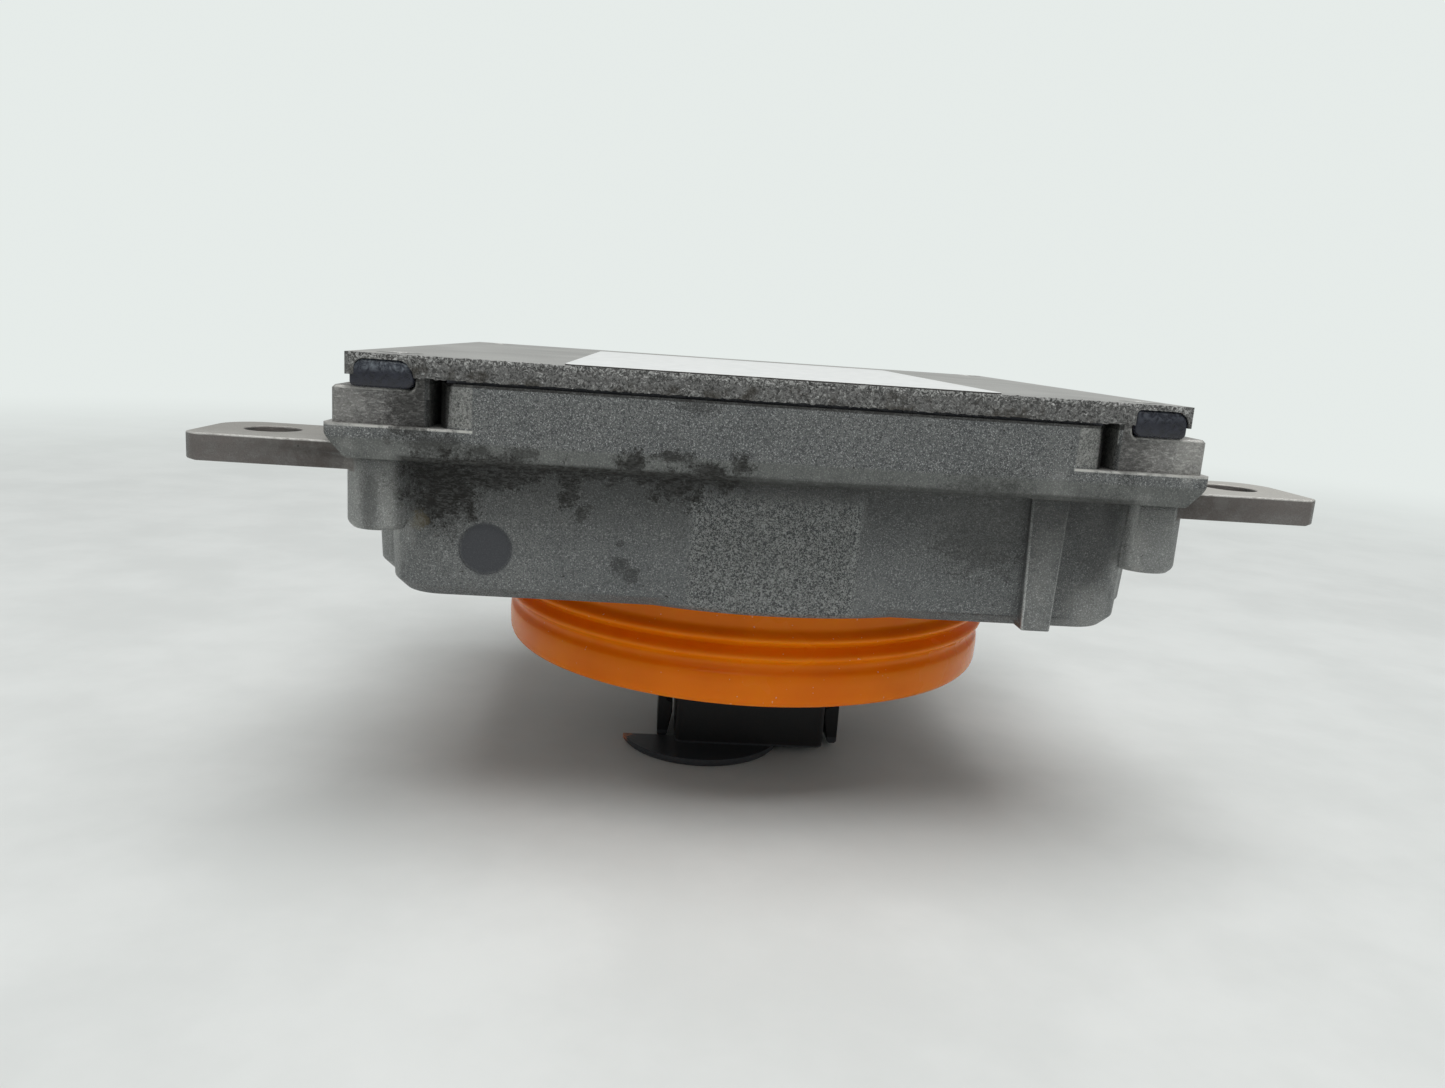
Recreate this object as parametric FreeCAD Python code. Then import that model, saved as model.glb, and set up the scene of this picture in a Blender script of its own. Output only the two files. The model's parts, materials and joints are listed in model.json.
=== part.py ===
import FreeCAD, Part
import math
import os
from FreeCAD import Vector

# Sealed driver module for a headlamp: die-cast housing with two screw ears, screwed lid,
# radial silicone seal on a round spigot, and a plug header with two sprung latch arms.
#
# Frame: +X to the right along the lid, +Y to the back, +Z up towards the lid.
# Origin: on the seal's axis, at the middle of its plain pilot band. All lengths in millimetres.

# ---- Driving dimensions --------------------------------------------------------------------
LID_WIDTH = 90.0
LID_DEPTH = 80.0
LID_THICK = 2.3
LID_X = -1.5                 # centre of the lid and of the ears, seen from the seal's axis
BODY_X = -1.1                # centre of the housing, a little off the lid's
FRONT = -LID_DEPTH / 2       # front face of lid and housing

# Heights, from the lid down
LID_TOP = 36.5
LID_UNDER = LID_TOP - LID_THICK
WALL_TOP = LID_UNDER - 0.35  # a bead of sealant fills the joint under the lid
LUG_TOP = LID_UNDER - 1.2
FLANGE_TOP = 29.1
FLANGE_UNDER = 25.5
EAR_TOP = 27.0
EAR_UNDER = 24.0
BOSS_END = 17.6
TUB_UNDER = 10.4
TUB_INSIDE = TUB_UNDER + 2.5
SPIGOT_END = -1.1
SPIGOT_INSIDE = SPIGOT_END + 2.4
SEAL_END = -2.25
BOX_END = -16.9              # rim of the plug header's shroud
FOOT_UNDER = -18.0           # the module stands on this face

# Outlines, width by depth. Each level is two crossed rectangles, cut back at the corners.
UPPER_LONG = (72.2, LID_DEPTH)
UPPER_WIDE = (LID_WIDTH, 58.0)
TUB_LONG = (85.1, 76.6)
TUB_WIDE = (90.4, 66.6)
UPPER_ROOM = ((66.7, 70.2), (84.4, 52.8))
LOWER_ROOM = ((77.0, 70.2), (82.8, 60.2))
TUB_CORNER = 6.0
TUB_DRAFT = 0.65             # how much the tub draws in on each side down to its bottom
FLANGE_WIDTH = 95.7
COLLAR_RADIUS = 39.4         # round swelling of the tub's walls about the seal's axis

# Corner screws, ears and board
SCREW_X = 41.0               # from the body's centre
SCREW_Y = 35.0
LUG_SPAN = (36.9, 46.95)     # from the body's centre
LUG_STEP = 1.4
LOWER_BOSSES = (-44.0, 42.4)
LOWER_BOSS_RADIUS = 3.4
EAR_TIP = 62.5               # from the lid's centre
EAR_FRONT = FRONT + 2.0
EAR_BACK = FRONT + 16.0
EAR_HOLE_X = 55.6
EAR_HOLE_Y = FRONT + 9.5
EAR_HOLE_RADIUS = 3.0
BOARD_UNDER = 17.3
BOARD_TOP = BOARD_UNDER + 1.6
BOARD_SCREW_X = 28.0
BOARD_SCREW_Y = 29.0

# Small screws: the shank, its tapped hole, and the hole it passes through
SHANK_RADIUS = 1.25
TAPPED_RADIUS = 1.3
PASSING_RADIUS = 1.4
LID_SCREW_LENGTH = 12.0

# Sealant at the lid's corners
NOTCH_SPAN = (38.8, 44.1)    # pocket in the lid, from the lid's centre
STRIP_END = 44.6

# Seal and spigot
SPIGOT_RADIUS = 30.3
SPIGOT_BORE = 27.5
PILOT_RADIUS = 33.9
GROOVE_RADIUS = 33.2
LIP_RADIUS = 34.3
LIP_HEIGHTS = (6.25, 4.1)
LIP_HALF = 1.075             # half the height of a lip; the two adjoin

# Plug header
HEADER_X = 1.5
BOX_WIDTH = 21.4
BOX_DEPTH = 18.0
BOX_WALL = 1.6
SOCKET_FLOOR = -6.0
HEADER_FLANGE_UNDER = SPIGOT_END - 2.4
HEADER_SCREW_X = 17.5        # from the header's centre
GASKET_OUTER = (24.0, 19.0)
GASKET_INNER = (20.0, 15.0)
GASKET_THICK = 0.7
PIN_ROWS = (-3.2, 3.2)
PIN_COLUMNS = (-6.6, -2.2, 2.2, 6.6)
PIN_WIDTH = 1.5
PIN_THICK = 0.8
SHELF_CENTRE = (-5.5, -3.5)  # half-moon shelf at the socket's mouth
SHELF_RADIUS = 11.6
SKIRT_FRONT = 4.0            # behind this the shroud's rim runs down to the foot's level
ARM_PIVOT = (12.5, -5.0)     # latch arm's hinge bead: from the header's centre, and height
ARM_BEAD = 1.1
ARM_PLAY = 0.15
ARM_DEPTH = 10.4
ARM_TIP = -17.6


# ---- Shape helpers -------------------------------------------------------------------------
def box(x_range, y_range, z_range):
    size = [high - low for low, high in (x_range, y_range, z_range)]
    return Part.makeBox(*size, Vector(x_range[0], y_range[0], z_range[0]))


def cylinder(x, y, radius, bottom, top):
    return Part.makeCylinder(radius, top - bottom, Vector(x, y, bottom))


def cone(x, y, bottom_radius, top_radius, bottom, top):
    return Part.makeCone(bottom_radius, top_radius, top - bottom, Vector(x, y, bottom))


def rounded_outline(x, y, width, depth, radius, z):
    """Closed wire: a rectangle centred on x, y whose four corners are arcs."""
    edges = []
    corners = ((1, -1, -90), (1, 1, 0), (-1, 1, 90), (-1, -1, 180))
    ends = []
    for side_x, side_y, start in corners:
        centre = Vector(x + side_x * (width / 2 - radius), y + side_y * (depth / 2 - radius), z)
        arc = Part.makeCircle(radius, centre, Vector(0, 0, 1), start, start + 90)
        edges.append(arc)
        ends.append((arc.valueAt(arc.FirstParameter), arc.valueAt(arc.LastParameter)))
    joined = []
    for number, arc in enumerate(edges):
        joined.append(arc)
        following = ends[(number + 1) % 4][0]
        joined.append(Part.makeLine(ends[number][1], following))
    return Part.Wire(joined)


def plate(x, y, width, depth, radius, bottom, top):
    face = Part.Face(rounded_outline(x, y, width, depth, radius, bottom))
    return face.extrude(Vector(0, 0, top - bottom))


def block(x, y, width, depth, bottom, top):
    """Plain block with sharp corners, centred on x, y."""
    return box((x - width / 2, x + width / 2), (y - depth / 2, y + depth / 2), (bottom, top))


def sleeve(x, y, inner, outer, bottom, top):
    """Square tube: the outer block less the inner one."""
    return block(x, y, *outer, bottom, top).cut(block(x, y, *inner, bottom, top))


def cross_block(sizes, inset, radius, bottom, top):
    """Two crossed rectangles with round corners, both drawn in by the inset, as one block."""
    blocks = []
    for width, depth in sizes:
        blocks.append(plate(BODY_X, 0, width - 2 * inset, depth - 2 * inset, radius, bottom, top))
    return blocks[0].fuse(blocks[1]).removeSplitter()


def cross_room(sizes, inset, bottom, top):
    """Two crossed rectangles with sharp corners, both drawn in by the inset, as one block."""
    blocks = []
    for width, depth in sizes:
        blocks.append(block(BODY_X, 0, width - 2 * inset, depth - 2 * inset, bottom, top))
    return blocks[0].fuse(blocks[1]).removeSplitter()


def flat_edges(shape, z):
    """The edges that lie level at height z."""
    found = []
    for edge in shape.Edges:
        bounds = edge.BoundBox
        if abs(bounds.ZMin - z) < 1e-4 and abs(bounds.ZMax - z) < 1e-4:
            found.append(edge)
    return found


def upright_edges(shape):
    """The edges that run straight up from the shape's bottom to its top."""
    height = shape.BoundBox.ZLength
    return [edge for edge in shape.Edges if edge.BoundBox.ZLength > height - 1e-4]


def bevel_rim(shape, z, width):
    return shape.makeChamfer(width, flat_edges(shape, z))


def turned(points):
    """Solid of revolution about the seal's axis, from (radius, height) points."""
    outline = Part.makePolygon([Vector(radius, 0, z) for radius, z in points + points[:1]])
    return Part.Face(outline).revolve(Vector(0, 0, 0), Vector(0, 0, 1), 360)


def extruded_profile(points, depth):
    """Prism along Y, centred on Y = 0, from (x, z) points."""
    outline = Part.makePolygon([Vector(x, -depth / 2, z) for x, z in points + points[:1]])
    return Part.Face(outline).extrude(Vector(0, depth, 0))


def hexagon(x, y, radius, bottom, top):
    """Six-sided prism, for a screw's head or shank, or the recess in its head."""
    corners = [Vector(x + radius * math.cos(math.radians(60 * turn)),
                      y + radius * math.sin(math.radians(60 * turn)), bottom)
               for turn in range(7)]
    return Part.Face(Part.makePolygon(corners)).extrude(Vector(0, 0, top - bottom))


def mirrored(shape, x):
    """The shape's twin on the other side of the plane at x."""
    return shape.mirror(Vector(x, 0, 0), Vector(1, 0, 0))


def fused(shapes):
    return shapes[0].multiFuse(shapes[1:]).removeSplitter()


def rectangle_corners(x, y, width, depth, z):
    return [Vector(x + side_x * width / 2, y + side_y * depth / 2, z)
            for side_x, side_y in ((-1, -1), (1, -1), (1, 1), (-1, 1))]


def drafted_block(width, depth, corner, bevel, bottom, top, draft):
    """Block on the body's centre, smaller by the draft at its bottom, which is bevelled."""
    lower = rectangle_corners(BODY_X, 0, width - 2 * draft, depth - 2 * draft, bottom)
    upper = rectangle_corners(BODY_X, 0, width, depth, top)
    outlines = [lower[::-1], upper]
    for near, far in ((0, 1), (1, 2), (2, 3), (3, 0)):
        outlines.append([lower[near], lower[far], upper[far], upper[near]])
    faces = [Part.Face(Part.makePolygon(points + points[:1])) for points in outlines]
    drafted = Part.Solid(Part.Shell(faces))
    drafted = drafted.makeFillet(corner, upright_edges(drafted))
    return bevel_rim(drafted, bottom, bevel)


def four_corners():
    """Side along X and side along Y of each corner of the body."""
    return [(side_x, side_y) for side_y in (-1, 1) for side_x in (-1, 1)]


def lid_screw_places():
    return [(BODY_X + side_x * SCREW_X, side_y * SCREW_Y) for side_x, side_y in four_corners()]


def board_screw_places():
    return [(BODY_X + side * BOARD_SCREW_X, -side * BOARD_SCREW_Y) for side in (-1, 1)]


def header_screw_places():
    return [(HEADER_X - HEADER_SCREW_X, 0), (HEADER_X + HEADER_SCREW_X, 0)]


# ---- Housing -------------------------------------------------------------------------------
def flange():
    """Level band round the housing, its two ends chamfered underneath."""
    chamfer_width = 2.5
    chamfer_height = 2.6
    half = FLANGE_WIDTH / 2
    profile = [(BODY_X - half, FLANGE_TOP), (BODY_X - half, FLANGE_UNDER + chamfer_height),
               (BODY_X - half + chamfer_width, FLANGE_UNDER),
               (BODY_X + half - chamfer_width, FLANGE_UNDER),
               (BODY_X + half, FLANGE_UNDER + chamfer_height), (BODY_X + half, FLANGE_TOP)]
    outline = plate(BODY_X, 0, FLANGE_WIDTH, LID_DEPTH, 1.2, FLANGE_UNDER, FLANGE_TOP)
    return extruded_profile(profile, LID_DEPTH).common(outline)


def tub():
    """Lower half: drafted, round at its corners, bevelled below, swollen round the collar."""
    long_part = drafted_block(*TUB_LONG, TUB_CORNER, 1.3, TUB_UNDER, FLANGE_UNDER, TUB_DRAFT)
    wide_part = drafted_block(*TUB_WIDE, TUB_CORNER, 2.2, TUB_UNDER, FLANGE_UNDER, TUB_DRAFT)
    collar = cylinder(0, 0, COLLAR_RADIUS, TUB_UNDER, FLANGE_UNDER)
    return [long_part, wide_part, bevel_rim(collar, TUB_UNDER, 0.6)]


def guide_rib():
    """Upright rib on the front wall, tapered downwards and a little prouder than the tub."""
    middle = 29.55
    top_width, bottom_width = 4.3, 3.3
    profile = [(middle - top_width / 2, FLANGE_UNDER + 0.5),
               (middle - bottom_width / 2, TUB_UNDER), (middle + bottom_width / 2, TUB_UNDER),
               (middle + top_width / 2, FLANGE_UNDER + 0.5)]
    depth = 3.0
    rib = extruded_profile(profile, depth)
    rib.translate(Vector(0, FRONT + 0.9 + depth / 2, 0))
    return rib


def corner_lug(side_x, side_y):
    """Square screw lug above the flange; a step at its inner end carries the lid."""
    front = side_y * (LID_DEPTH / 2 - 0.6)
    wall_y = side_y * (UPPER_WIDE[1] / 2 - 1)
    inner, outer = LUG_SPAN
    middle = BODY_X + side_x * (inner + outer) / 2
    lug = block(middle, (front + wall_y) / 2, outer - inner, abs(front - wall_y),
                FLANGE_TOP, LUG_TOP)
    lug = lug.makeChamfer(0.4, upright_edges(lug))
    step = box(sorted((BODY_X + side_x * inner, BODY_X + side_x * (inner + LUG_STEP))),
               sorted((front, wall_y + side_y)), (LUG_TOP - 1, LID_UNDER))
    return [bevel_rim(lug, LUG_TOP, 0.3), step]


def lower_boss(x, side_y):
    """Blind boss under the flange for the end of a lid screw."""
    boss = cylinder(x, side_y * (SCREW_Y + 0.4), LOWER_BOSS_RADIUS, BOSS_END, FLANGE_UNDER + 0.5)
    return bevel_rim(boss, BOSS_END, 0.6)


def ear():
    """Right-hand screw ear: flat front, clipped front corner, round back corner."""
    root = LID_X + 42.0
    tip = LID_X + EAR_TIP
    clip = 1.3
    radius = 4.5
    corner = Vector(tip - radius, EAR_BACK - radius, EAR_UNDER)
    arc = Part.makeCircle(radius, corner, Vector(0, 0, 1), 0, 90)
    points = [Vector(tip - radius, EAR_BACK, EAR_UNDER), Vector(root, EAR_BACK, EAR_UNDER),
              Vector(root, EAR_FRONT, EAR_UNDER), Vector(tip - clip, EAR_FRONT, EAR_UNDER),
              Vector(tip, EAR_FRONT + clip, EAR_UNDER), Vector(tip, EAR_BACK - radius, EAR_UNDER)]
    outline = Part.Wire([arc] + Part.makePolygon(points).Edges)
    slab = Part.Face(outline).extrude(Vector(0, 0, EAR_TOP - EAR_UNDER))
    hole = cylinder(LID_X + EAR_HOLE_X, EAR_HOLE_Y, EAR_HOLE_RADIUS, EAR_UNDER, EAR_TOP)
    return slab.cut(hole)


def spigot():
    """Closed round spigot under the tub that the seal is stretched over."""
    return cylinder(0, 0, SPIGOT_RADIUS, SPIGOT_END, TUB_UNDER + 1.0)


def header_window():
    """Opening for the header's neck in the spigot's end, its screw holes and gasket groove."""
    cuts = [block(HEADER_X, 0, 15.4, 12.4, SPIGOT_END - 1, SPIGOT_INSIDE + 1)]
    for x, y in header_screw_places():
        cuts.append(cylinder(x, y, TAPPED_RADIUS, SPIGOT_END - 1, SPIGOT_INSIDE + 2.6))
    return cuts + [header_gasket()]


def inner_bosses():
    """Two rails that carry the board, and blind blocks for the header's screws."""
    rails = [block(BODY_X, side_y * BOARD_SCREW_Y, 2 * BOARD_SCREW_X + 7, 6.0,
                   TUB_INSIDE - 0.5, BOARD_UNDER) for side_y in (-1, 1)]
    return rails + [block(x, y, 6.4, 6.4, SPIGOT_INSIDE - 0.5, SPIGOT_INSIDE + 3.8)
                    for x, y in header_screw_places()]


def screw_holes():
    """Blind tapped holes for the lid's and the board's screws."""
    holes = []
    for x, y in lid_screw_places():
        holes.append(cylinder(x, y, TAPPED_RADIUS, LID_TOP - LID_SCREW_LENGTH - 1, LUG_TOP + 1))
    for x, y in board_screw_places():
        holes.append(cylinder(x, y, TAPPED_RADIUS, TUB_INSIDE, BOARD_UNDER + 1))
    return holes


def housing():
    upper = cross_block((UPPER_LONG, UPPER_WIDE), 0, 3.0, FLANGE_UNDER, WALL_TOP)
    solids = [upper, flange(), spigot(), guide_rib(), ear(), mirrored(ear(), LID_X)] + tub()
    solids += [lower_boss(x, side_y) for x in LOWER_BOSSES for side_y in (-1, 1)]
    for side_x, side_y in four_corners():
        solids += corner_lug(side_x, side_y)
    casting = fused(solids)

    upper_room = cross_room(UPPER_ROOM, 0, FLANGE_UNDER, WALL_TOP + 1)
    lower_room = cross_room(LOWER_ROOM, 0, TUB_INSIDE, FLANGE_UNDER)
    well = cylinder(0, 0, SPIGOT_BORE, SPIGOT_INSIDE, TUB_INSIDE + 1)
    casting = casting.cut(fused([upper_room, lower_room, well]))
    casting = fused([casting] + inner_bosses())

    ejector_mark = Part.makeCylinder(2.9, 1.0, Vector(BODY_X - 31.0, FRONT + 1.35, 16.15),
                                     Vector(0, 1, 0))
    return casting.cut([ejector_mark] + screw_holes() + header_window())


# ---- Lid and its seals ---------------------------------------------------------------------
def sealant_notch(side_x, side_y, grow=0.0):
    """Pocket under a corner of the lid, open to its front or back edge."""
    edge = side_y * LID_DEPTH / 2
    return box(sorted(LID_X + side_x * end for end in NOTCH_SPAN),
               sorted((edge + side_y * grow, edge - side_y * 1.8)), (LID_UNDER, LID_TOP - 0.6))


def lid():
    sheet = block(LID_X, 0, LID_WIDTH, LID_DEPTH, LID_UNDER, LID_TOP)
    rib_outer = cross_room(UPPER_ROOM, 0.3, LID_UNDER - 1.4, LID_UNDER)
    rib_inner = cross_room(UPPER_ROOM, 1.7, LID_UNDER - 1.4, LID_UNDER)
    cuts = [sealant_notch(side_x, side_y, 1.0) for side_x, side_y in four_corners()]
    for x, y in lid_screw_places():
        cuts.append(cylinder(x, y, PASSING_RADIUS, LID_UNDER, LID_TOP))
        cuts.append(cone(x, y, 1.3, 2.5, LID_TOP - 1.6, LID_TOP))
    return fused([sheet, rib_outer.cut(rib_inner)]).cut(cuts)


def lid_sealant():
    outer = cross_room((UPPER_LONG, UPPER_WIDE), 0.9, WALL_TOP, LID_UNDER)
    return outer.cut(cross_room(UPPER_ROOM, -0.4, WALL_TOP, LID_UNDER))


def corner_seal(side_x, side_y):
    """Strip of sealant between lug and lid, in front of the screw, that fills the lid's notch."""
    front = side_y * (LID_DEPTH / 2 - 0.6)
    beside_step = BODY_X + side_x * (LUG_SPAN[0] + LUG_STEP + 0.1)
    strip = box(sorted((beside_step, LID_X + side_x * STRIP_END)),
                sorted((front, front - side_y * 2.2)), (LUG_TOP, LID_UNDER))
    return fused([strip, sealant_notch(side_x, side_y)])


def blank_label():
    return plate(LID_X + 0.75, -7.0, 47.0, 65.0, 1.5, LID_TOP, LID_TOP + 0.15)


def lid_screws():
    """Countersunk screws, flush with the lid."""
    screws = []
    for x, y in lid_screw_places():
        head = cone(x, y, SHANK_RADIUS, 2.35, LID_TOP - 1.5, LID_TOP - 0.05)
        shank = hexagon(x, y, SHANK_RADIUS, LID_TOP - LID_SCREW_LENGTH, LID_TOP - 1.5)
        screws.append(fused([head, shank]).cut(hexagon(x, y, 1.0, LID_TOP - 1.0, LID_TOP)))
    return Part.makeCompound(screws)


# ---- Radial seal ---------------------------------------------------------------------------
def seal_ring():
    """Orange silicone ring: two lips over a plain pilot band, stretched over the spigot."""
    outer = [(GROOVE_RADIUS, TUB_UNDER), (GROOVE_RADIUS, LIP_HEIGHTS[0] + LIP_HALF)]
    for middle in LIP_HEIGHTS:
        outer += [(LIP_RADIUS, middle), (GROOVE_RADIUS, middle - LIP_HALF)]
    outer += [(GROOVE_RADIUS, 2.3), (PILOT_RADIUS, 1.8), (PILOT_RADIUS, -1.5),
              (PILOT_RADIUS - 0.8, SEAL_END)]
    return turned(outer + [(SPIGOT_RADIUS, SEAL_END), (SPIGOT_RADIUS, TUB_UNDER)])


# ---- Plug header ---------------------------------------------------------------------------
def arm_seat():
    """Block beside the shroud, with the round groove that an arm's bead turns in."""
    x, z = HEADER_X + ARM_PIVOT[0], ARM_PIVOT[1]
    inner = HEADER_X + BOX_WIDTH / 2 - 0.5
    depth = ARM_DEPTH + 2.4
    block = box((inner, x + 2.2), (-depth / 2, depth / 2), (z - 0.2, HEADER_FLANGE_UNDER))
    groove = Part.makeCylinder(ARM_BEAD + ARM_PLAY, ARM_DEPTH + 0.4,
                               Vector(x, -ARM_DEPTH / 2 - 0.2, z), Vector(0, 1, 0))
    return block.cut(groove)


def mouth_shelf():
    """Half-moon shelf at the front left of the socket's mouth, cut back under the left arm."""
    shelf = bevel_rim(cylinder(*SHELF_CENTRE, SHELF_RADIUS, FOOT_UNDER, BOX_END), FOOT_UNDER, 0.4)
    arm_way = box((SHELF_CENTRE[0] - 20, HEADER_X - BOX_WIDTH / 2), (-ARM_DEPTH / 2 - 1.2, 20),
                  (FOOT_UNDER - 1, BOX_END + 1))
    return shelf.cut(arm_way)


def header_pins():
    pins = []
    for row in PIN_ROWS:
        for column in PIN_COLUMNS:
            x = HEADER_X + column
            blade = box((x - PIN_WIDTH / 2, x + PIN_WIDTH / 2),
                        (row - PIN_THICK / 2, row + PIN_THICK / 2), (-13.3, BOARD_TOP + 1.5))
            pins.append(blade.makeChamfer(0.25, flat_edges(blade, -13.3)))
    return pins


def header_shell():
    """Moulded plug header: neck, screwed flange, shroud round the pins, shelf and rear skirt."""
    neck = block(HEADER_X, 0, 15.0, 12.0, SPIGOT_END, SPIGOT_INSIDE + 2.2)
    base = block(HEADER_X, 0, 43.0, 24.0, HEADER_FLANGE_UNDER, SPIGOT_END)
    base = base.makeChamfer(6.0, upright_edges(base))
    shroud = plate(HEADER_X, 0, BOX_WIDTH, BOX_DEPTH, 1.2, BOX_END, HEADER_FLANGE_UNDER)
    skirt = plate(HEADER_X, 0, BOX_WIDTH, BOX_DEPTH, 1.2, FOOT_UNDER, BOX_END)
    skirt = skirt.common(box((-20, 20), (SKIRT_FRONT, BOX_DEPTH), (FOOT_UNDER, BOX_END)))
    shell = fused([neck, base, shroud, arm_seat(), mirrored(arm_seat(), HEADER_X), mouth_shelf(),
                   skirt])

    inside = (BOX_WIDTH - 2 * BOX_WALL, BOX_DEPTH - 2 * BOX_WALL)
    socket = block(HEADER_X, 0, *inside, FOOT_UNDER - 1, SOCKET_FLOOR)
    shell = shell.cut(socket)
    keys = []
    for x in (HEADER_X - 4.4, HEADER_X + 6.6):
        keys.append(box((x - 0.6, x + 0.6), (inside[1] / 2 - 0.9, inside[1] / 2 + 0.2),
                        (BOX_END + 1.0, SOCKET_FLOOR)))
    shell = fused([shell] + keys)
    screw_ways = [cylinder(x, y, PASSING_RADIUS, HEADER_FLANGE_UNDER, SPIGOT_END)
                  for x, y in header_screw_places()]
    return shell.cut(header_pins() + screw_ways)


def latch_arm():
    """Right-hand latch arm: hinge bead, straight back, catch nose and lead-in ramp."""
    x, z = HEADER_X + ARM_PIVOT[0], ARM_PIVOT[1]
    back = x + 0.85
    profile = [(x - 0.4, z), (x - 0.4, -12.0), (x - 1.25, -12.3), (x - 1.25, -13.8),
               (x - 0.6, ARM_TIP + 0.3), (x - 0.3, ARM_TIP), (back - 0.3, ARM_TIP),
               (back, ARM_TIP + 0.3), (back, z - 0.9), (x + 0.6, z)]
    bead = Part.makeCylinder(ARM_BEAD, ARM_DEPTH, Vector(x, -ARM_DEPTH / 2, z), Vector(0, 1, 0))
    return fused([extruded_profile(profile, ARM_DEPTH), bead])


def header_gasket():
    """Flat rubber frame in a groove of the spigot's end, round the header's neck."""
    return sleeve(HEADER_X, 0, GASKET_INNER, GASKET_OUTER, SPIGOT_END, SPIGOT_END + GASKET_THICK)


def header_screws():
    screws = []
    head_under = HEADER_FLANGE_UNDER - 1.7
    for x, y in header_screw_places():
        head = hexagon(x, y, 2.6, head_under, HEADER_FLANGE_UNDER)
        shank = hexagon(x, y, SHANK_RADIUS, HEADER_FLANGE_UNDER, SPIGOT_INSIDE + 2.2)
        recess = hexagon(x, y, 1.1, head_under, head_under + 1.0)
        screws.append(fused([head, shank]).cut(recess))
    return Part.makeCompound(screws)


# ---- Circuit board and what stands on it ---------------------------------------------------
def circuit_board():
    board = cross_room(((63.0, 68.0), (78.0, 48.0)), 0, BOARD_UNDER, BOARD_TOP)
    holes = [cylinder(x, y, PASSING_RADIUS, BOARD_UNDER, BOARD_TOP)
             for x, y in board_screw_places()]
    for row in PIN_ROWS:
        for column in PIN_COLUMNS:
            holes.append(block(HEADER_X + column, row, PIN_WIDTH + 0.3, PIN_THICK + 0.3,
                               BOARD_UNDER, BOARD_TOP))
    return board.cut(holes)


def board_screws():
    screws = []
    for x, y in board_screw_places():
        head = hexagon(x, y, 2.6, BOARD_TOP, BOARD_TOP + 1.6)
        shank = hexagon(x, y, SHANK_RADIUS, TUB_INSIDE + 0.4, BOARD_TOP)
        screws.append(fused([head, shank]))
    return Part.makeCompound(screws)


TRANSFORMER = (-20.0, 4.0)


def transformer_cores():
    """Two E-shaped ferrite halves that meet in the bobbin, one seated on the other."""
    x, y = TRANSFORMER
    halves = []
    for bottom, opening in ((BOARD_TOP, BOARD_TOP + 2.6), (BOARD_TOP + 6.2, BOARD_TOP + 6.2)):
        block = box((x - 8, x + 8), (y - 10, y + 10), (bottom, bottom + 6.2))
        slots = []
        for side in (-1, 1):
            slots.append(box((x - 9, x + 9), sorted((y + side * 3.2, y + side * 7.6)),
                             (opening, opening + 3.6)))
        halves.append(block.cut(slots))
    return Part.makeCompound(halves)


def transformer_bobbin():
    """Former round the middle leg, with a cheek at each end."""
    x, y = TRANSFORMER
    low, high = BOARD_TOP + 2.7, BOARD_TOP + 9.7
    leg = (16.6, 6.8)
    tube = sleeve(x, y, leg, (18.2, 8.4), low, high)
    cheeks = [sleeve(x, y, leg, (23.0, 14.6), bottom, bottom + 0.9)
              for bottom in (low, high - 0.9)]
    return fused([tube] + cheeks)


def transformer_winding():
    x, y = TRANSFORMER
    coil = block(x, y, 22.4, 13.8, BOARD_TOP + 3.7, BOARD_TOP + 8.7)
    coil = coil.makeChamfer(1.5, upright_edges(coil))
    return coil.cut(block(x, y, 18.4, 8.6, BOARD_TOP + 3.7, BOARD_TOP + 8.7))


CHOKE = (17.0, -15.0)


def choke_core():
    """Ferrite core of the storage choke: two square cheeks on a round post."""
    x, y = CHOKE
    post = cylinder(x, y, 3.8, BOARD_TOP + 1.8, BOARD_TOP + 8.2)
    cheeks = [block(x, y, 15.6, 15.6, bottom, bottom + 1.8)
              for bottom in (BOARD_TOP, BOARD_TOP + 8.2)]
    return fused([post] + cheeks)


def choke_winding():
    """Copper coil on the post, between the cheeks."""
    x, y = CHOKE
    coil = block(x, y, 14.4, 14.4, BOARD_TOP + 2.0, BOARD_TOP + 8.0)
    coil = coil.makeChamfer(3.0, upright_edges(coil))
    return coil.cut(cylinder(x, y, 3.9, BOARD_TOP, BOARD_TOP + 10))


def bulk_capacitors():
    return Part.makeCompound([cylinder(x, 12.5, 5.0, BOARD_TOP, BOARD_TOP + 12.0)
                              for x in (13.0, 25.0)])


def film_capacitor():
    top = BOARD_TOP + 11.0
    return bevel_rim(block(-21.0, -14.5, 15.0, 7.0, BOARD_TOP, top), top, 0.6)


TRANSISTOR_COLUMNS = (-20.5, -8.5, 3.5, 15.5)
HEAT_WALL = UPPER_ROOM[0][1] / 2         # inside face of the rear wall


def power_transistors():
    """Four packages that stand on their legs with their backs to the rear wall."""
    packages = []
    for x in TRANSISTOR_COLUMNS:
        body = box((x - 4.5, x + 4.5), (HEAT_WALL - 5.4, HEAT_WALL - 0.9),
                   (BOARD_TOP + 2.5, BOARD_TOP + 10.5))
        body = body.makeChamfer(0.6, [edge for edge in body.Edges
                                      if abs(edge.BoundBox.YMax - (HEAT_WALL - 5.4)) < 1e-4])
        legs = [box((x + leg - 0.4, x + leg + 0.4), (HEAT_WALL - 3.9, HEAT_WALL - 3.3),
                    (BOARD_TOP, BOARD_TOP + 2.5)) for leg in (-2.54, 0, 2.54)]
        packages.append(fused([body] + legs))
    return Part.makeCompound(packages)


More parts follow.
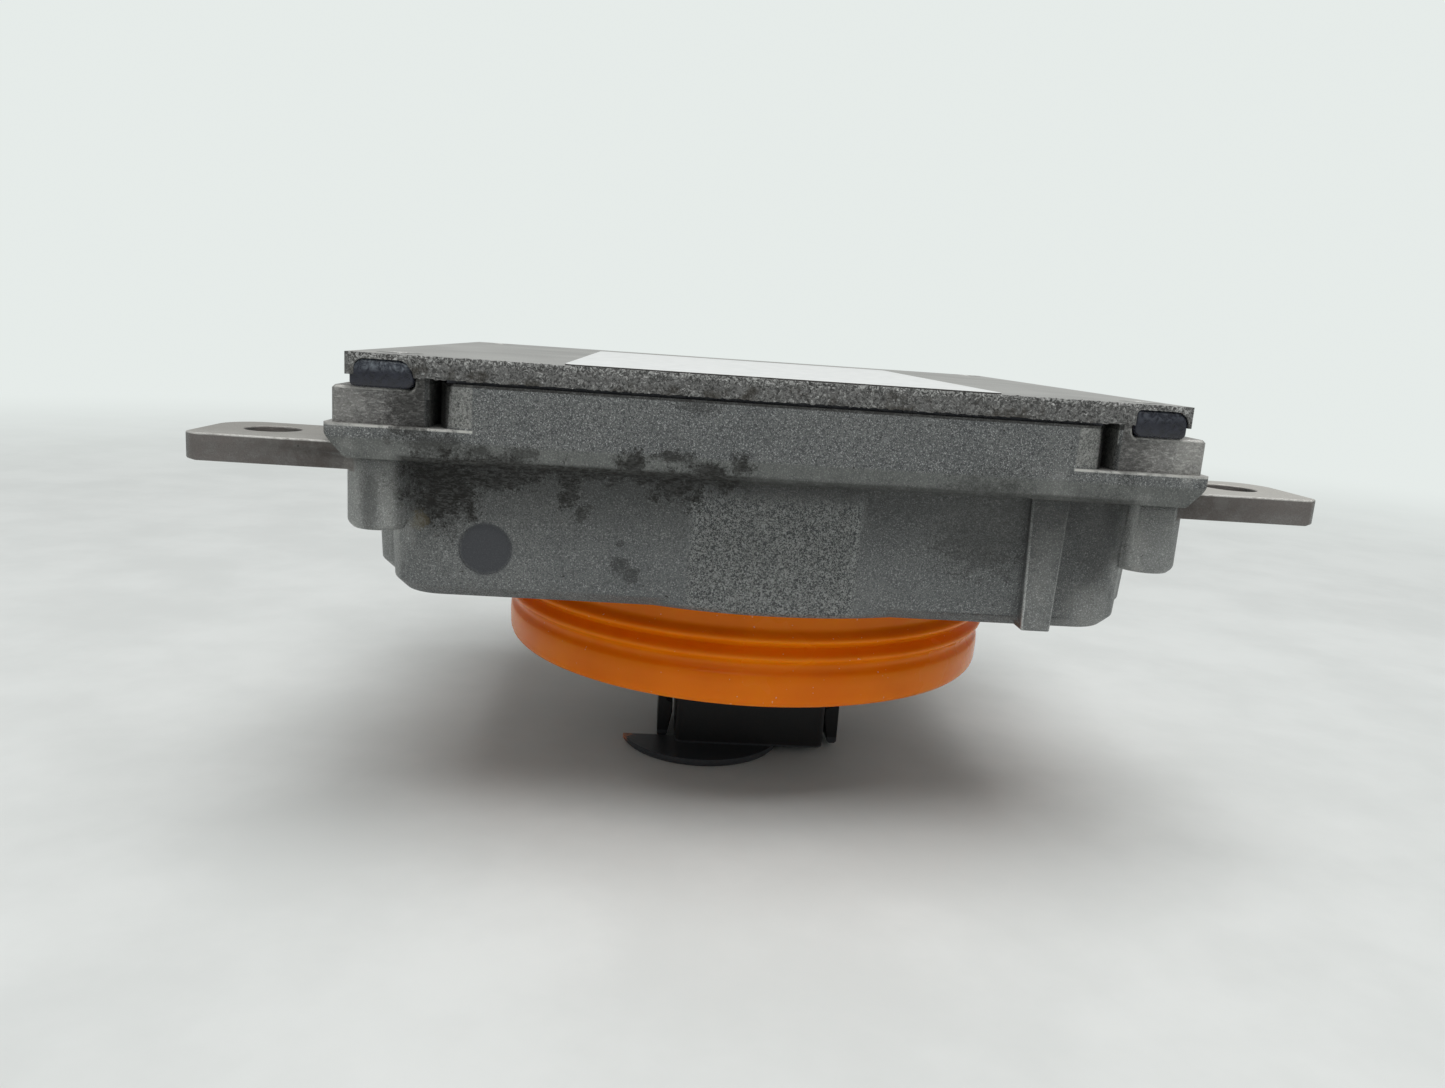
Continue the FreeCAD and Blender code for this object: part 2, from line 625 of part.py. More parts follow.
def insulator_pad():
    """Thin pad between the rear wall and the transistors."""
    middle = sum(TRANSISTOR_COLUMNS) / len(TRANSISTOR_COLUMNS)
    return box((middle - 24, middle + 24), (HEAT_WALL - 0.9, HEAT_WALL),
               (BOARD_TOP + 2.0, BOARD_TOP + 11.5))


def transistor_clip():
    """Sprung steel strip whose four fingers press the transistors to the wall."""
    middle = sum(TRANSISTOR_COLUMNS) / len(TRANSISTOR_COLUMNS)
    face = HEAT_WALL - 5.4
    strip = box((middle - 24, middle + 24), (face - 4.1, face - 3.5),
                (BOARD_TOP, BOARD_TOP + 5.0))
    fingers = []
    for x in TRANSISTOR_COLUMNS:
        profile = [(face - 4.1, BOARD_TOP + 4.5), (face - 3.5, BOARD_TOP + 4.5),
                   (face, BOARD_TOP + 8.0), (face - 1.6, BOARD_TOP + 10.4),
                   (face - 2.1, BOARD_TOP + 10.0), (face - 0.7, BOARD_TOP + 8.0)]
        outline = Part.makePolygon([Vector(x - 2.2, y, z) for y, z in profile + profile[:1]])
        fingers.append(Part.Face(outline).extrude(Vector(4.4, 0, 0)))
    return fused([strip] + fingers)


def controller_chip():
    body = box((-9.0, 1.0), (-27.0, -17.0), (BOARD_TOP + 0.2, BOARD_TOP + 1.7))
    leads = []
    for number in range(8):
        x = -8.0 + number * 1.14
        leads.append(box((x, x + 0.5), (-28.0, -16.0), (BOARD_TOP, BOARD_TOP + 0.4)))
    return fused([body.makeChamfer(0.3, flat_edges(body, BOARD_TOP + 1.7))] + leads)


def thermal_pad():
    """Soft pad that carries heat from the underside of the board to the tub's floor."""
    return block(BODY_X + 33.5, 0, 8.0, 30.0, TUB_INSIDE, BOARD_UNDER)


# ---- Build ---------------------------------------------------------------------------------
def all_nodes():
    nodes = {
        "housing": housing(),
        "lid": lid(),
        "lid_sealant": lid_sealant(),
        "lid_screws": lid_screws(),
        "blank_label": blank_label(),
        "seal_ring": seal_ring(),
        "header_shell": header_shell(),
        "header_gasket": header_gasket(),
        "header_screws": header_screws(),
        "header_pins": Part.makeCompound(header_pins()),
        "latch_arm_right": latch_arm(),
        "latch_arm_left": mirrored(latch_arm(), HEADER_X),
        "circuit_board": circuit_board(),
        "board_screws": board_screws(),
        "transformer_cores": transformer_cores(),
        "transformer_bobbin": transformer_bobbin(),
        "transformer_winding": transformer_winding(),
        "choke_core": choke_core(),
        "choke_winding": choke_winding(),
        "bulk_capacitors": bulk_capacitors(),
        "film_capacitor": film_capacitor(),
        "power_transistors": power_transistors(),
        "insulator_pad": insulator_pad(),
        "transistor_clip": transistor_clip(),
        "controller_chip": controller_chip(),
        "thermal_pad": thermal_pad(),
    }
    for side_x, side_y in four_corners():
        place = ("front" if side_y < 0 else "rear") + ("_left" if side_x < 0 else "_right")
        nodes["corner_seal_" + place] = corner_seal(side_x, side_y)
    return nodes


os.makedirs("parts", exist_ok=True)
for node_name, node_shape in all_nodes().items():
    node_shape.exportStep("parts/" + node_name + ".step")
    print(node_name, len(node_shape.Solids), node_shape.isValid(), round(node_shape.Volume, 1))
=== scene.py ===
import bmesh
import bpy
import json
import math
from mathutils import Matrix, Vector


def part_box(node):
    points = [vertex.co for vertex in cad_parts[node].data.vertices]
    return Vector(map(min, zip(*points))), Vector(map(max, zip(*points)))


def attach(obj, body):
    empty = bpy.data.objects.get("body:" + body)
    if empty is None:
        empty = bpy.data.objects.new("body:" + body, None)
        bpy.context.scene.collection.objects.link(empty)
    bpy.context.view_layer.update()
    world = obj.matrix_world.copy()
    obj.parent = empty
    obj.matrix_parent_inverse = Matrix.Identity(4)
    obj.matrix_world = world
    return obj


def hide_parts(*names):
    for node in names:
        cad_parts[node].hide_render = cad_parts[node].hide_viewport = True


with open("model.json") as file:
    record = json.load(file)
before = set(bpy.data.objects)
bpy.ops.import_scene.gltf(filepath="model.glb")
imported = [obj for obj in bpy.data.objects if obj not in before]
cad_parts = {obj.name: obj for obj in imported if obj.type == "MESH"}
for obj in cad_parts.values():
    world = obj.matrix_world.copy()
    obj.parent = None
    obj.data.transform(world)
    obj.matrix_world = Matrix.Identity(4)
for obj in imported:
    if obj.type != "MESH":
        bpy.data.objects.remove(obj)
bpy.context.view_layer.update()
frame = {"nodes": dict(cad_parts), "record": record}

# Sealed headlamp driver: a grey die-casting under a sheared lid, an orange silicone seal on its
# round spigot, and a black plug header with two latch arms. Metres, in the part's own frame.

MM = 0.001
SAME = 0.01 * MM                        # places nearer than this count as one
LID_LOW, LID_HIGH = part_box("lid")
LID_MIDDLE = (LID_LOW[0] + LID_HIGH[0]) / 2
LID_UNDER = LID_HIGH[2] - 2.3 * MM      # underside of the sheet; a rib stands out below it
FRONT = LID_LOW[1]
TUB_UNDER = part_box("seal_ring")[1][2]
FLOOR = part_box("header_shell")[0][2]

# Heights on the casting
LUG_TOP = 33.0 * MM
FLANGE_TOP = 29.1 * MM
FLANGE_UNDER = 25.5 * MM
EAR_TOP = 27.0 * MM
EAR_UNDER = 24.0 * MM
BOSS_END = 17.6 * MM

# Places on the casting: two along X, four from the body's middle to either side, two along Y
BODY_MIDDLE = -1.1 * MM
RIB_MIDDLE = 29.55 * MM
FLANGE_HALF_WIDTH = 47.85 * MM
LUG_STEP = 38.3 * MM
BOSS_SIDE = 41.4 * MM
EAR_ROOT = 48.5 * MM
FLANGE_HALF_DEPTH = 40 * MM
RIB_FRONT = FRONT + 0.9 * MM

# The lid's corner notches: their ends from the lid's middle, and their height
NOTCH_INNER = 38.8 * MM
NOTCH_OUTER = 44.1 * MM
NOTCH_TOP = LID_HIGH[2] - 0.6 * MM
NOTCH_MOUTH = 38 * MM                   # they open further out than this, to the front and back
# How much wider the sealant pushed the inner and the outer end of those in front
NOTCH_WIDER = {(-1, -1): (0.7 * MM, 0.0), (1, -1): (0.0, 0.58 * MM)}


# ---- Bench work ----------------------------------------------------------------------------
def take_up(piece):
    """Makes the piece the only one selected, and the active one."""
    bpy.ops.object.select_all(action="DESELECT")
    piece.select_set(True)
    bpy.context.view_layer.objects.active = piece


def named(name):
    """The primitive just added, under its own name."""
    piece = bpy.context.object
    piece.name = name
    piece.data.name = name
    return piece


def pick_faces(piece, wanted):
    """In edit mode, selects the faces for which wanted(centre, normal) is true."""
    mesh = bmesh.from_edit_mesh(piece.data)
    bpy.ops.mesh.select_mode(type="FACE")
    bpy.ops.mesh.select_all(action="DESELECT")
    for face in mesh.faces:
        face.select_set(wanted(face.calc_center_median(), face.normal))
    mesh.select_flush_mode()
    bmesh.update_edit_mesh(piece.data)


def pick_edges(piece, wanted):
    """In edit mode, selects the edges for which wanted(one end, other end) is true."""
    bpy.ops.mesh.select_mode(type="EDGE")
    mesh = bmesh.from_edit_mesh(piece.data)
    bpy.ops.mesh.select_all(action="DESELECT")
    for edge in mesh.edges:
        edge.select_set(wanted(edge.verts[0].co, edge.verts[1].co))
    mesh.select_flush_mode()
    bmesh.update_edit_mesh(piece.data)


def shape_with(piece, kind, **settings):
    """Adds a modifier, sets it and applies it."""
    take_up(piece)
    bpy.ops.object.modifier_add(type=kind)
    modifier = piece.modifiers[-1]
    for setting, value in settings.items():
        setattr(modifier, setting, value)
    bpy.ops.object.modifier_apply(modifier=modifier.name)


def smooth(piece, degrees=35):
    """Smooth shading across edges that turn by less than this angle."""
    take_up(piece)
    bpy.ops.object.shade_smooth_by_angle(angle=math.radians(degrees))


def smooth_but_flat(piece):
    """Smooth shading over the rounded edges, while the large flats stay flat."""
    smooth(piece)
    shape_with(piece, "WEIGHTED_NORMAL", keep_sharp=True)


def flatten_faces(piece):
    """Joins the triangles of each flat face."""
    take_up(piece)
    bpy.ops.object.mode_set(mode="EDIT")
    bpy.ops.mesh.select_all(action="SELECT")
    bpy.ops.mesh.dissolve_limited(angle_limit=math.radians(0.5))
    bpy.ops.object.mode_set(mode="OBJECT")


def flat_copy(node, name):
    """Copy of a CAD node, its loose triangles joined into whole flat faces."""
    source = frame["nodes"][node]
    piece = bpy.data.objects.new(name, source.data.copy())
    piece.data.name = name
    bpy.context.scene.collection.objects.link(piece)
    take_up(piece)
    bpy.ops.object.mode_set(mode="EDIT")
    bpy.ops.mesh.select_all(action="SELECT")
    bpy.ops.mesh.remove_doubles(threshold=0.002 * MM)
    bpy.ops.object.mode_set(mode="OBJECT")
    flatten_faces(piece)
    return piece


def round_edges(piece, wanted, radius, segments=3, clamp=True):
    """In object mode, rounds the sharp edges for which wanted(one end, other end) is true."""
    take_up(piece)
    bpy.ops.object.mode_set(mode="EDIT")
    pick_edges(piece, wanted)
    mesh = bmesh.from_edit_mesh(piece.data)
    for edge in mesh.edges:
        if edge.select and edge.calc_face_angle(0) < math.radians(15):
            edge.select_set(False)
    bmesh.update_edit_mesh(piece.data)
    bpy.ops.mesh.bevel(offset=radius, segments=segments, affect="EDGES", clamp_overlap=clamp)
    bpy.ops.object.mode_set(mode="OBJECT")


def level(a, b, height):
    """True for an edge that lies at that height."""
    return max(abs(a.z - height), abs(b.z - height)) < 2 * SAME


def aside(point):
    """Distance from the casting's middle, to either side."""
    return abs(point.x - BODY_MIDDLE)


# ---- Shader nodes --------------------------------------------------------------------------
def material_of(name):
    """An empty material, its node tree and its shader."""
    material = bpy.data.materials.new(name)
    material.use_nodes = True
    tree = material.node_tree
    shader = tree.nodes["Principled BSDF"]
    return material, tree, shader


def feed(tree, socket, value):
    """Sets a socket to a number, or links it to another socket."""
    if isinstance(value, bpy.types.NodeSocket):
        tree.links.new(value, socket)
    elif value is not None:
        socket.default_value = value


def vector_math(tree, kind, first, second=None):
    """One step of arithmetic on vectors; gives the node."""
    node = tree.nodes.new("ShaderNodeVectorMath")
    node.operation = kind
    feed(tree, node.inputs[0], first)
    feed(tree, node.inputs[1], second)
    return node


def calculate(tree, kind, first, second=None):
    """One step of arithmetic on numbers."""
    node = tree.nodes.new("ShaderNodeMath")
    node.operation = kind
    feed(tree, node.inputs[0], first)
    feed(tree, node.inputs[1], second)
    return node.outputs["Value"]


def all_of(tree, *masks):
    """Product of several masks or factors."""
    result = masks[0]
    for mask in masks[1:]:
        result = calculate(tree, "MULTIPLY", result, mask)
    return result


def any_of(tree, *masks):
    """The strongest of several masks."""
    result = masks[0]
    for mask in masks[1:]:
        result = calculate(tree, "MAXIMUM", result, mask)
    return result


def sum_of(tree, first, second):
    return calculate(tree, "ADD", first, second)


def less(tree, value, taken):
    """The value with so much taken off."""
    return calculate(tree, "SUBTRACT", value, taken)


def outside(tree, mask):
    """1 where the mask is 0, and 0 where it is 1."""
    return less(tree, 1.0, mask)


def away_from(tree, value, middle):
    """Distance from the middle, to either side."""
    return calculate(tree, "ABSOLUTE", less(tree, value, middle))


def coordinates(tree):
    return tree.nodes.new("ShaderNodeTexCoord").outputs["Object"]


def drawn_out(tree, times):
    """The coordinates squeezed along X, so that a pattern runs sideways."""
    return vector_math(tree, "MULTIPLY", coordinates(tree), (1 / times, 1.0, 1.0)).outputs["Vector"]


def one_of(tree, vector, axis):
    """The X, Y or Z of a vector."""
    node = tree.nodes.new("ShaderNodeSeparateXYZ")
    feed(tree, node.inputs["Vector"], vector)
    return node.outputs[axis]


def along(tree, axis):
    """The place along X, Y or Z, in metres."""
    return one_of(tree, coordinates(tree), axis)


def facing(tree, axis):
    """How far the surface faces along X, Y or Z, from -1 to 1."""
    return one_of(tree, tree.nodes.new("ShaderNodeNewGeometry").outputs["Normal"], axis)


def distance_to(tree, centre):
    return vector_math(tree, "DISTANCE", coordinates(tree), centre).outputs["Value"]


def noise(tree, size, detail=2.0, rough=0.5, warp=0.0, where=None):
    """Cloudy pattern whose lumps are about this size, in metres; gives 0 to 1."""
    node = tree.nodes.new("ShaderNodeTexNoise")
    feed(tree, node.inputs["Vector"], where or coordinates(tree))
    node.inputs["Scale"].default_value = 1 / size
    node.inputs["Detail"].default_value = detail
    node.inputs["Roughness"].default_value = rough
    node.inputs["Distortion"].default_value = warp
    return node.outputs["Fac"]


def ramp(tree, value, low, high, out_low=0.0, out_high=1.0):
    """Eased slope from low to high, held level outside."""
    node = tree.nodes.new("ShaderNodeMapRange")
    node.interpolation_type = "SMOOTHSTEP"
    feed(tree, node.inputs["Value"], value)
    node.inputs["From Min"].default_value = low
    node.inputs["From Max"].default_value = high
    node.inputs["To Min"].default_value = out_low
    node.inputs["To Max"].default_value = out_high
    return node.outputs["Result"]


def fade(tree, value, low, high):
    """1 below low, falling to 0 at high."""
    return ramp(tree, value, low, high, 1.0, 0.0)


def within(tree, value, low, high, soft):
    """1 between low and high, falling to 0 over the soft distance outside."""
    rising = ramp(tree, value, low - soft, low + soft)
    return all_of(tree, rising, fade(tree, value, high - soft, high + soft))


def blend_colours(tree, amount, first, second, kind="MIX"):
    node = tree.nodes.new("ShaderNodeMix")
    node.data_type = "RGBA"
    node.blend_type = kind
    feed(tree, node.inputs[0], amount)
    # The node has its sockets A, B and Result once for each kind of data; these are the colours
    for socket, value in ((node.inputs[6], first), (node.inputs[7], second)):
        feed(tree, socket, (*value, 1.0) if isinstance(value, tuple) else value)
    return node.outputs[2]


def two_tone(tree, pattern, low, high, first, second):
    """The first colour where the pattern is low, the second where it is high."""
    return blend_colours(tree, ramp(tree, pattern, low, high), first, second)


def bump(tree, height, depth, before=None):
    """Relief of that depth, in metres, on top of another one."""
    node = tree.nodes.new("ShaderNodeBump")
    node.inputs["Distance"].default_value = depth
    feed(tree, node.inputs["Height"], height)
    if before:
        feed(tree, node.inputs["Normal"], before)
    return node.outputs["Normal"]


def spot(tree, centre, reach, ragged, soft=0.3):
    """Spot round a centre, as wide as its reach along X, Y and Z, in millimetres; 1 inside, 0 outside."""
    away = vector_math(tree, "SUBTRACT", coordinates(tree), [value * MM for value in centre])
    scaled = vector_math(tree, "DIVIDE", away.outputs["Vector"], [value * MM for value in reach])
    length = vector_math(tree, "LENGTH", scaled.outputs["Vector"])
    return fade(tree, sum_of(tree, length.outputs["Value"], ragged), 1 - soft, 1 + soft)


# ---- The casting's material ----------------------------------------------------------------
# Old grime and painted shade: centre, reach and strength of each dark patch, in millimetres
STAINS_AND_SHADES = (
    ((-36.5, -39, 22.6), (4.5, 8, 4.7), 1.07),
    ((-32.0, -39, 24.6), (7.0, 8, 2.3), 1.0),
    ((-36.2, -39, 19.4), (2.6, 8, 2.2), 0.7),
    ((-23.3, -39, 23.4), (1.6, 8, 2.5), 1.0),
    ((-21.8, -39, 20.8), (1.2, 8, 1.2), 0.9),
    ((-11.8, -39, 24.2), (3.3, 8, 2.1), 1.0),
    ((-16.6, -40, 26.8), (1.5, 8, 1.4), 1.0),
    ((-12.4, -40, 27.7), (1.9, 8, 0.7), 0.9),
    ((-8.4, -40, 26.3), (2.2, 8, 0.9), 1.0),
    ((-5.0, -40, 27.2), (1.3, 8, 1.2), 1.0),
    ((-37.7, -40, 27.6), (3.6, 8, 1.0), 0.7),
    ((-28.0, -40, 27.0), (1.6, 8, 0.6), 0.7),
    ((-32.4, -40, 27.0), (1.1, 8, 0.5), 0.8),
    ((-44.2, -39, 20.4), (0.9, 8, 3.0), 0.5),
    ((-17.4, -39, 15.1), (1.0, 8, 1.0), 0.65),
    ((-16.4, -39, 14.0), (1.1, 8, 1.0), 0.65),
    ((-17.6, -39, 17.5), (0.6, 8, 0.4), 0.8),
    # Painted shadow beside the right boss, and painted shade between it and the rib
    ((32.8, -37, 19.5), (1.8, 4, 8.0), 0.4),
    ((35.5, -37, 20.8), (3.1, 7, 5.6), 0.6),
    # Brown grime at the top of the wall under the lid
    ((-10.0, -40, 33.2), (2.2, 8, 0.7), 0.5),
    # Painted shade at each lug's inner end
    ((-39.4, -39.6, 31.0), (2.6, 3, 4.0), 0.8),
    ((37.5, -39.4, 31.2), (2.0, 3, 3.2), 0.45),
    # Painted shade on the tub right of the collar, under the flange
    ((22.5, -39, 21.8), (6.0, 8, 5.5), 0.7),
    ((15.0, -39, 24.8), (9.0, 8, 1.2), 0.6),
)
WIDE_PATCH = 4      # one with a longer reach than this has a calmer outline

# Painted highlights: places painted paler than the rest where light falls, in the same way
HIGHLIGHT_PATCHES = (
    ((-46.2, -38, 21.0), (1.2, 6, 6.0), 0.35),
    ((-41.8, -38, 21.0), (2.0, 6, 5.5), 0.4),
    ((-47.2, -39.4, 31.2), (2.6, 3, 2.3), 0.45),
    ((29.6, -40.4, 17.5), (2.4, 2, 9.0), 0.4),
    ((36.0, -36, 12.5), (2.8, 6, 3.6), 0.4),
    ((39.3, -38, 20.0), (1.4, 6, 6.0), 0.45),
    ((44.6, -39.4, 31.2), (2.6, 3, 2.3), 0.85),
    ((41.2, -39.4, 31.2), (3.2, 3, 2.3), 0.35),
)


class CastingField:
    """Coordinates, patterns and zones that the casting's layers of colour share."""

    def __init__(self, tree):
        self.x = along(tree, "X")
        self.y = along(tree, "Y")
        self.z = along(tree, "Z")
        self.side = away_from(tree, self.x, BODY_MIDDLE)

        self.fine = noise(tree, 0.14 * MM, 2.0, 0.6)
        self.grain = noise(tree, 0.24 * MM, 2.5, 0.6, 1.0)
        self.worms = noise(tree, 0.235 * MM, 1.0, 0.5, 1.6)
        self.streaks = noise(tree, 0.24 * MM, 2.5, 0.6, 0.8, drawn_out(tree, 2.6))
        self.blotches = noise(tree, 1.7 * MM, 5.0, 0.72)
        edges = noise(tree, 0.9 * MM, 5.0, 0.75)
        ragged = sum_of(tree, sum_of(tree, self.blotches, edges), all_of(tree, self.grain, 0.7))
        self.ragged = all_of(tree, less(tree, ragged, 1.35), 2.4)

        self.collar = all_of(tree, within(tree, self.x, -10.0 * MM, 8.9 * MM, 0.5 * MM),
                             within(tree, self.z, 8 * MM, 23.8 * MM, 1.4 * MM),
                             fade(tree, self.y, -37.9 * MM, -37.3 * MM))
        self.lugs = all_of(tree, ramp(tree, self.z, FLANGE_TOP - 0.1 * MM, FLANGE_TOP),
                           ramp(tree, self.side, 37.3 * MM, 37.5 * MM))
        self.ears = all_of(tree, ramp(tree, self.side, 44.6 * MM, 45.2 * MM),
                           within(tree, self.z, EAR_UNDER - 0.2 * MM, EAR_TOP + 0.1 * MM, 0.1 * MM),
                           ramp(tree, self.y, -38.3 * MM, -38.1 * MM))


def plain_metal(tree, at):
    """Dark and light grain over slow clouds; coarse on the collar, smoother on the flange; the bosses
    painted lighter, a painted highlight.
    """
    clouds = noise(tree, 11 * MM, 4.0, 0.6)
    tint = two_tone(tree, clouds, 0.3, 0.7, (0.145, 0.152, 0.153), (0.187, 0.193, 0.19))
    calm = ramp(tree, at.z, 24 * MM, 28 * MM, 0.74, 1.0)
    tint = blend_colours(tree, all_of(tree, calm, ramp(tree, at.grain, 0.38, 0.58, 0.85, 0.0)), tint,
                         (0.062, 0.065, 0.068))
    tint = blend_colours(tree, all_of(tree, calm, ramp(tree, at.fine, 0.53, 0.70, 0.0, 0.72)), tint,
                         (0.54, 0.545, 0.54))
    coarse = two_tone(tree, at.worms, 0.42, 0.60, (0.066, 0.07, 0.072), (0.35, 0.36, 0.35))
    tint = blend_colours(tree, all_of(tree, at.collar, 0.9), tint, coarse)
    # Bright grain between the upper wall and each lug
    rubbed = all_of(tree, within(tree, at.side, 32.4 * MM, 37 * MM, 0.08 * MM),
                    within(tree, at.z, 29.3 * MM, 34 * MM, 0.1 * MM))
    bright = two_tone(tree, at.grain, 0.36, 0.64, (0.12, 0.122, 0.116), (0.38, 0.38, 0.36))
    tint = blend_colours(tree, all_of(tree, rubbed, 0.75), tint, bright)
    flange = within(tree, at.z, 25.2 * MM, 27.7 * MM, 0.25 * MM)
    band = two_tone(tree, at.blotches, 0.35, 0.65, (0.125, 0.131, 0.122), (0.165, 0.171, 0.16))
    tint = blend_colours(tree, all_of(tree, flange, 0.6), tint, band)
    # Painted highlight: the bosses below the flange painted lighter
    boss_highlight = all_of(tree, ramp(tree, at.side, 40.4 * MM, 41 * MM),
                    ramp(tree, at.z, 24.6 * MM, 25.6 * MM, 0.45, 0.0))
    return blend_colours(tree, boss_highlight, tint, (0.20, 0.20, 0.19), "ADD")


def tarnished(tree, at, tint):
    """Brown tarnish on the faces of the lugs and ears, the lugs streaked; the ears' upward tops painted
    pale, a painted highlight.
    """
    tarnish = two_tone(tree, at.blotches, 0.3, 0.7, (0.155, 0.143, 0.137), (0.235, 0.225, 0.216))
    tint = blend_colours(tree, all_of(tree, any_of(tree, at.lugs, at.ears), 0.6), tint, tarnish)
    dark_streaks = all_of(tree, at.lugs, ramp(tree, at.streaks, 0.36, 0.5, 0.55, 0.0))
    tint = blend_colours(tree, dark_streaks, tint, (0.075, 0.071, 0.068))
    light_streaks = all_of(tree, at.lugs, ramp(tree, at.streaks, 0.54, 0.68, 0.0, 0.55))
    tint = blend_colours(tree, light_streaks, tint, (0.44, 0.43, 0.41))
    ear_face = all_of(tree, at.ears, fade(tree, facing(tree, "Y"), -0.6, -0.4))
    brown = two_tone(tree, at.side, 48 * MM, 60 * MM, (0.098, 0.084, 0.077), (0.19, 0.17, 0.16))
    tint = blend_colours(tree, all_of(tree, ear_face, ramp(tree, at.blotches, 0.35, 0.65, 0.9, 0.55)),
                         tint, brown)
    # Painted highlight on the ears' upward tops, paler to the right
    upward = ramp(tree, facing(tree, "Z"), 0.5, 0.8)
    ear_top_highlight = two_tone(tree, at.x, -5 * MM, 5 * MM, (0.45, 0.435, 0.40), (0.70, 0.68, 0.63))
    return blend_colours(tree, all_of(tree, at.ears, upward, 0.72), tint, ear_top_highlight)


def painted_highlight_patches(tree, at, tint):
    """Painted highlights: patches painted paler than the rest, where light falls on bosses, lugs, rib and
    tub.
    """
    painted_light = [all_of(tree, spot(tree, centre, reach, at.ragged, 0.5), strength)
            for centre, reach, strength in HIGHLIGHT_PATCHES]
    return blend_colours(tree, any_of(tree, *painted_light), tint, (0.22, 0.218, 0.205), "ADD")


def highlit_lips(tree, at, tint):
    """Painted highlights: bright lips on the upper edges, brightest in front, and on the guide rib's two
    edges.
    """
    # Distance from the middle of the lug fillet's curve, which is taller than it is wide
    curve_side, curve_height = 38.98 * MM, 33.67 * MM
    across = calculate(tree, "POWER", less(tree, at.side, curve_side), 2.0)
    upright = all_of(tree, calculate(tree, "POWER", less(tree, at.z, curve_height), 2.0), 0.5)
    from_curve = calculate(tree, "SQRT", sum_of(tree, across, upright))
    flange_lip = all_of(tree, within(tree, at.z, FLANGE_TOP - 0.26 * MM, FLANGE_TOP + 0.02 * MM, 0.06 * MM),
                        ramp(tree, at.side, 32.2 * MM, 32.4 * MM))
    lug_lip = all_of(tree, within(tree, at.z, LUG_TOP - 0.3 * MM, LUG_TOP - 0.02 * MM, 0.06 * MM),
                     ramp(tree, at.side, 38.9 * MM, 39.1 * MM))
    fillet_lip = all_of(tree, within(tree, from_curve, 0.6 * MM, 0.84 * MM, 0.05 * MM),
                        within(tree, at.side, 38.1 * MM, curve_side, 0.05 * MM),
                        within(tree, at.z, 32.5 * MM, 33.7 * MM, 0.1 * MM))
    ear_lip = all_of(tree, within(tree, at.z, EAR_TOP - 0.22 * MM, EAR_TOP - 0.02 * MM, 0.05 * MM), at.ears)
    # Painted highlights along the edges, brightest in front
    lips = all_of(tree, any_of(tree, flange_lip, lug_lip, fillet_lip, ear_lip),
                  ramp(tree, at.y, -37 * MM, -33 * MM, 1.0, 0.25),
                  ramp(tree, at.blotches, 0.35, 0.55, 0.45, 1.0))
    tint = blend_colours(tree, lips, tint, (0.62, 0.61, 0.58))

    # Painted highlights on the guide rib's two edges
    taper = all_of(tree, less(tree, at.z, FLANGE_UNDER), 0.032)
    from_rib = less(tree, away_from(tree, at.x, RIB_MIDDLE), taper)
    rib_edges = all_of(tree, within(tree, from_rib, 1.92 * MM, 2.2 * MM, 0.06 * MM),
                       fade(tree, at.y, FRONT + 1.2 * MM, FRONT + 1.3 * MM),
                       fade(tree, at.z, FLANGE_UNDER - 0.1 * MM, FLANGE_UNDER + 0.1 * MM),
                       ramp(tree, at.x, 29 * MM, 30 * MM, 0.9, 0.45),
                       ramp(tree, at.fine, 0.4, 0.55, 0.3, 1.0))
    return blend_colours(tree, rib_edges, tint, (0.55, 0.56, 0.55))


def grime_and_shade_mask(tree, at):
    """Where grime and painted shade lie: under the flange, in the inner corners, under the lid, and in
    stains and shaded patches.
    """
    wavy_height = sum_of(tree, at.z, all_of(tree, less(tree, at.blotches, 0.5), 5 * MM))
    # Less of it over the collar, and to the right
    fainter = any_of(tree, all_of(tree, within(tree, at.x, -3 * MM, 11 * MM, 3 * MM), 0.6),
                     ramp(tree, at.x, -3 * MM, 3 * MM, 0.0, 0.28))
    # Under the flange: grime, and painted shade below its overhang
    line = all_of(tree, ramp(tree, wavy_height, 22.9 * MM, 25.0 * MM),
                  fade(tree, at.z, 25.9 * MM, 26.3 * MM), outside(tree, fainter),
                  ramp(tree, at.side, 39 * MM, 41 * MM, 1.0, 0.1))
    # Painted shade: darker towards the flange, away from the collar and the bosses
    shade = all_of(tree, ramp(tree, at.z, 14 * MM, 25.6 * MM, 0.0, 0.75), outside(tree, at.collar),
                   fade(tree, at.z, 25.9 * MM, 26.1 * MM), fade(tree, at.side, 38 * MM, 41 * MM))
    # Painted shadow: a dark line on the wall just under the lid
    under_lid = all_of(tree, ramp(tree, at.z, 33.5 * MM, 33.62 * MM, 0.0, 0.9),
                       fade(tree, at.side, 37.4 * MM, 37.5 * MM))
    # Painted shade in the slot between the upper wall and each lug
    lug_corner = all_of(tree, within(tree, at.side, 35.2 * MM, 36.8 * MM, 0.2 * MM),
                        ramp(tree, at.z, 29 * MM, 29.2 * MM), 0.9)
    stains_and_shades = [line, shade, under_lid, lug_corner]
    calmer = all_of(tree, at.ragged, 0.6)
    for centre, reach, strength in STAINS_AND_SHADES:
        outline = calmer if max(reach[0], reach[2]) > WIDE_PATCH else at.ragged
        stains_and_shades.append(all_of(tree, spot(tree, centre, reach, outline, 0.42), strength))
    return all_of(tree, any_of(tree, *stains_and_shades), ramp(tree, at.streaks, 0.36, 0.66, 1.0, 0.76))


def ejector_mark(tree, at):
    """The round mark of the die's ejector pin, on the front of the tub."""
    away = distance_to(tree, (-32.1 * MM, FRONT + 2.3 * MM, 16.15 * MM))
    uneven = sum_of(tree, away, all_of(tree, at.blotches, 0.5 * MM))
    return fade(tree, uneven, 2.75 * MM, 3.45 * MM)


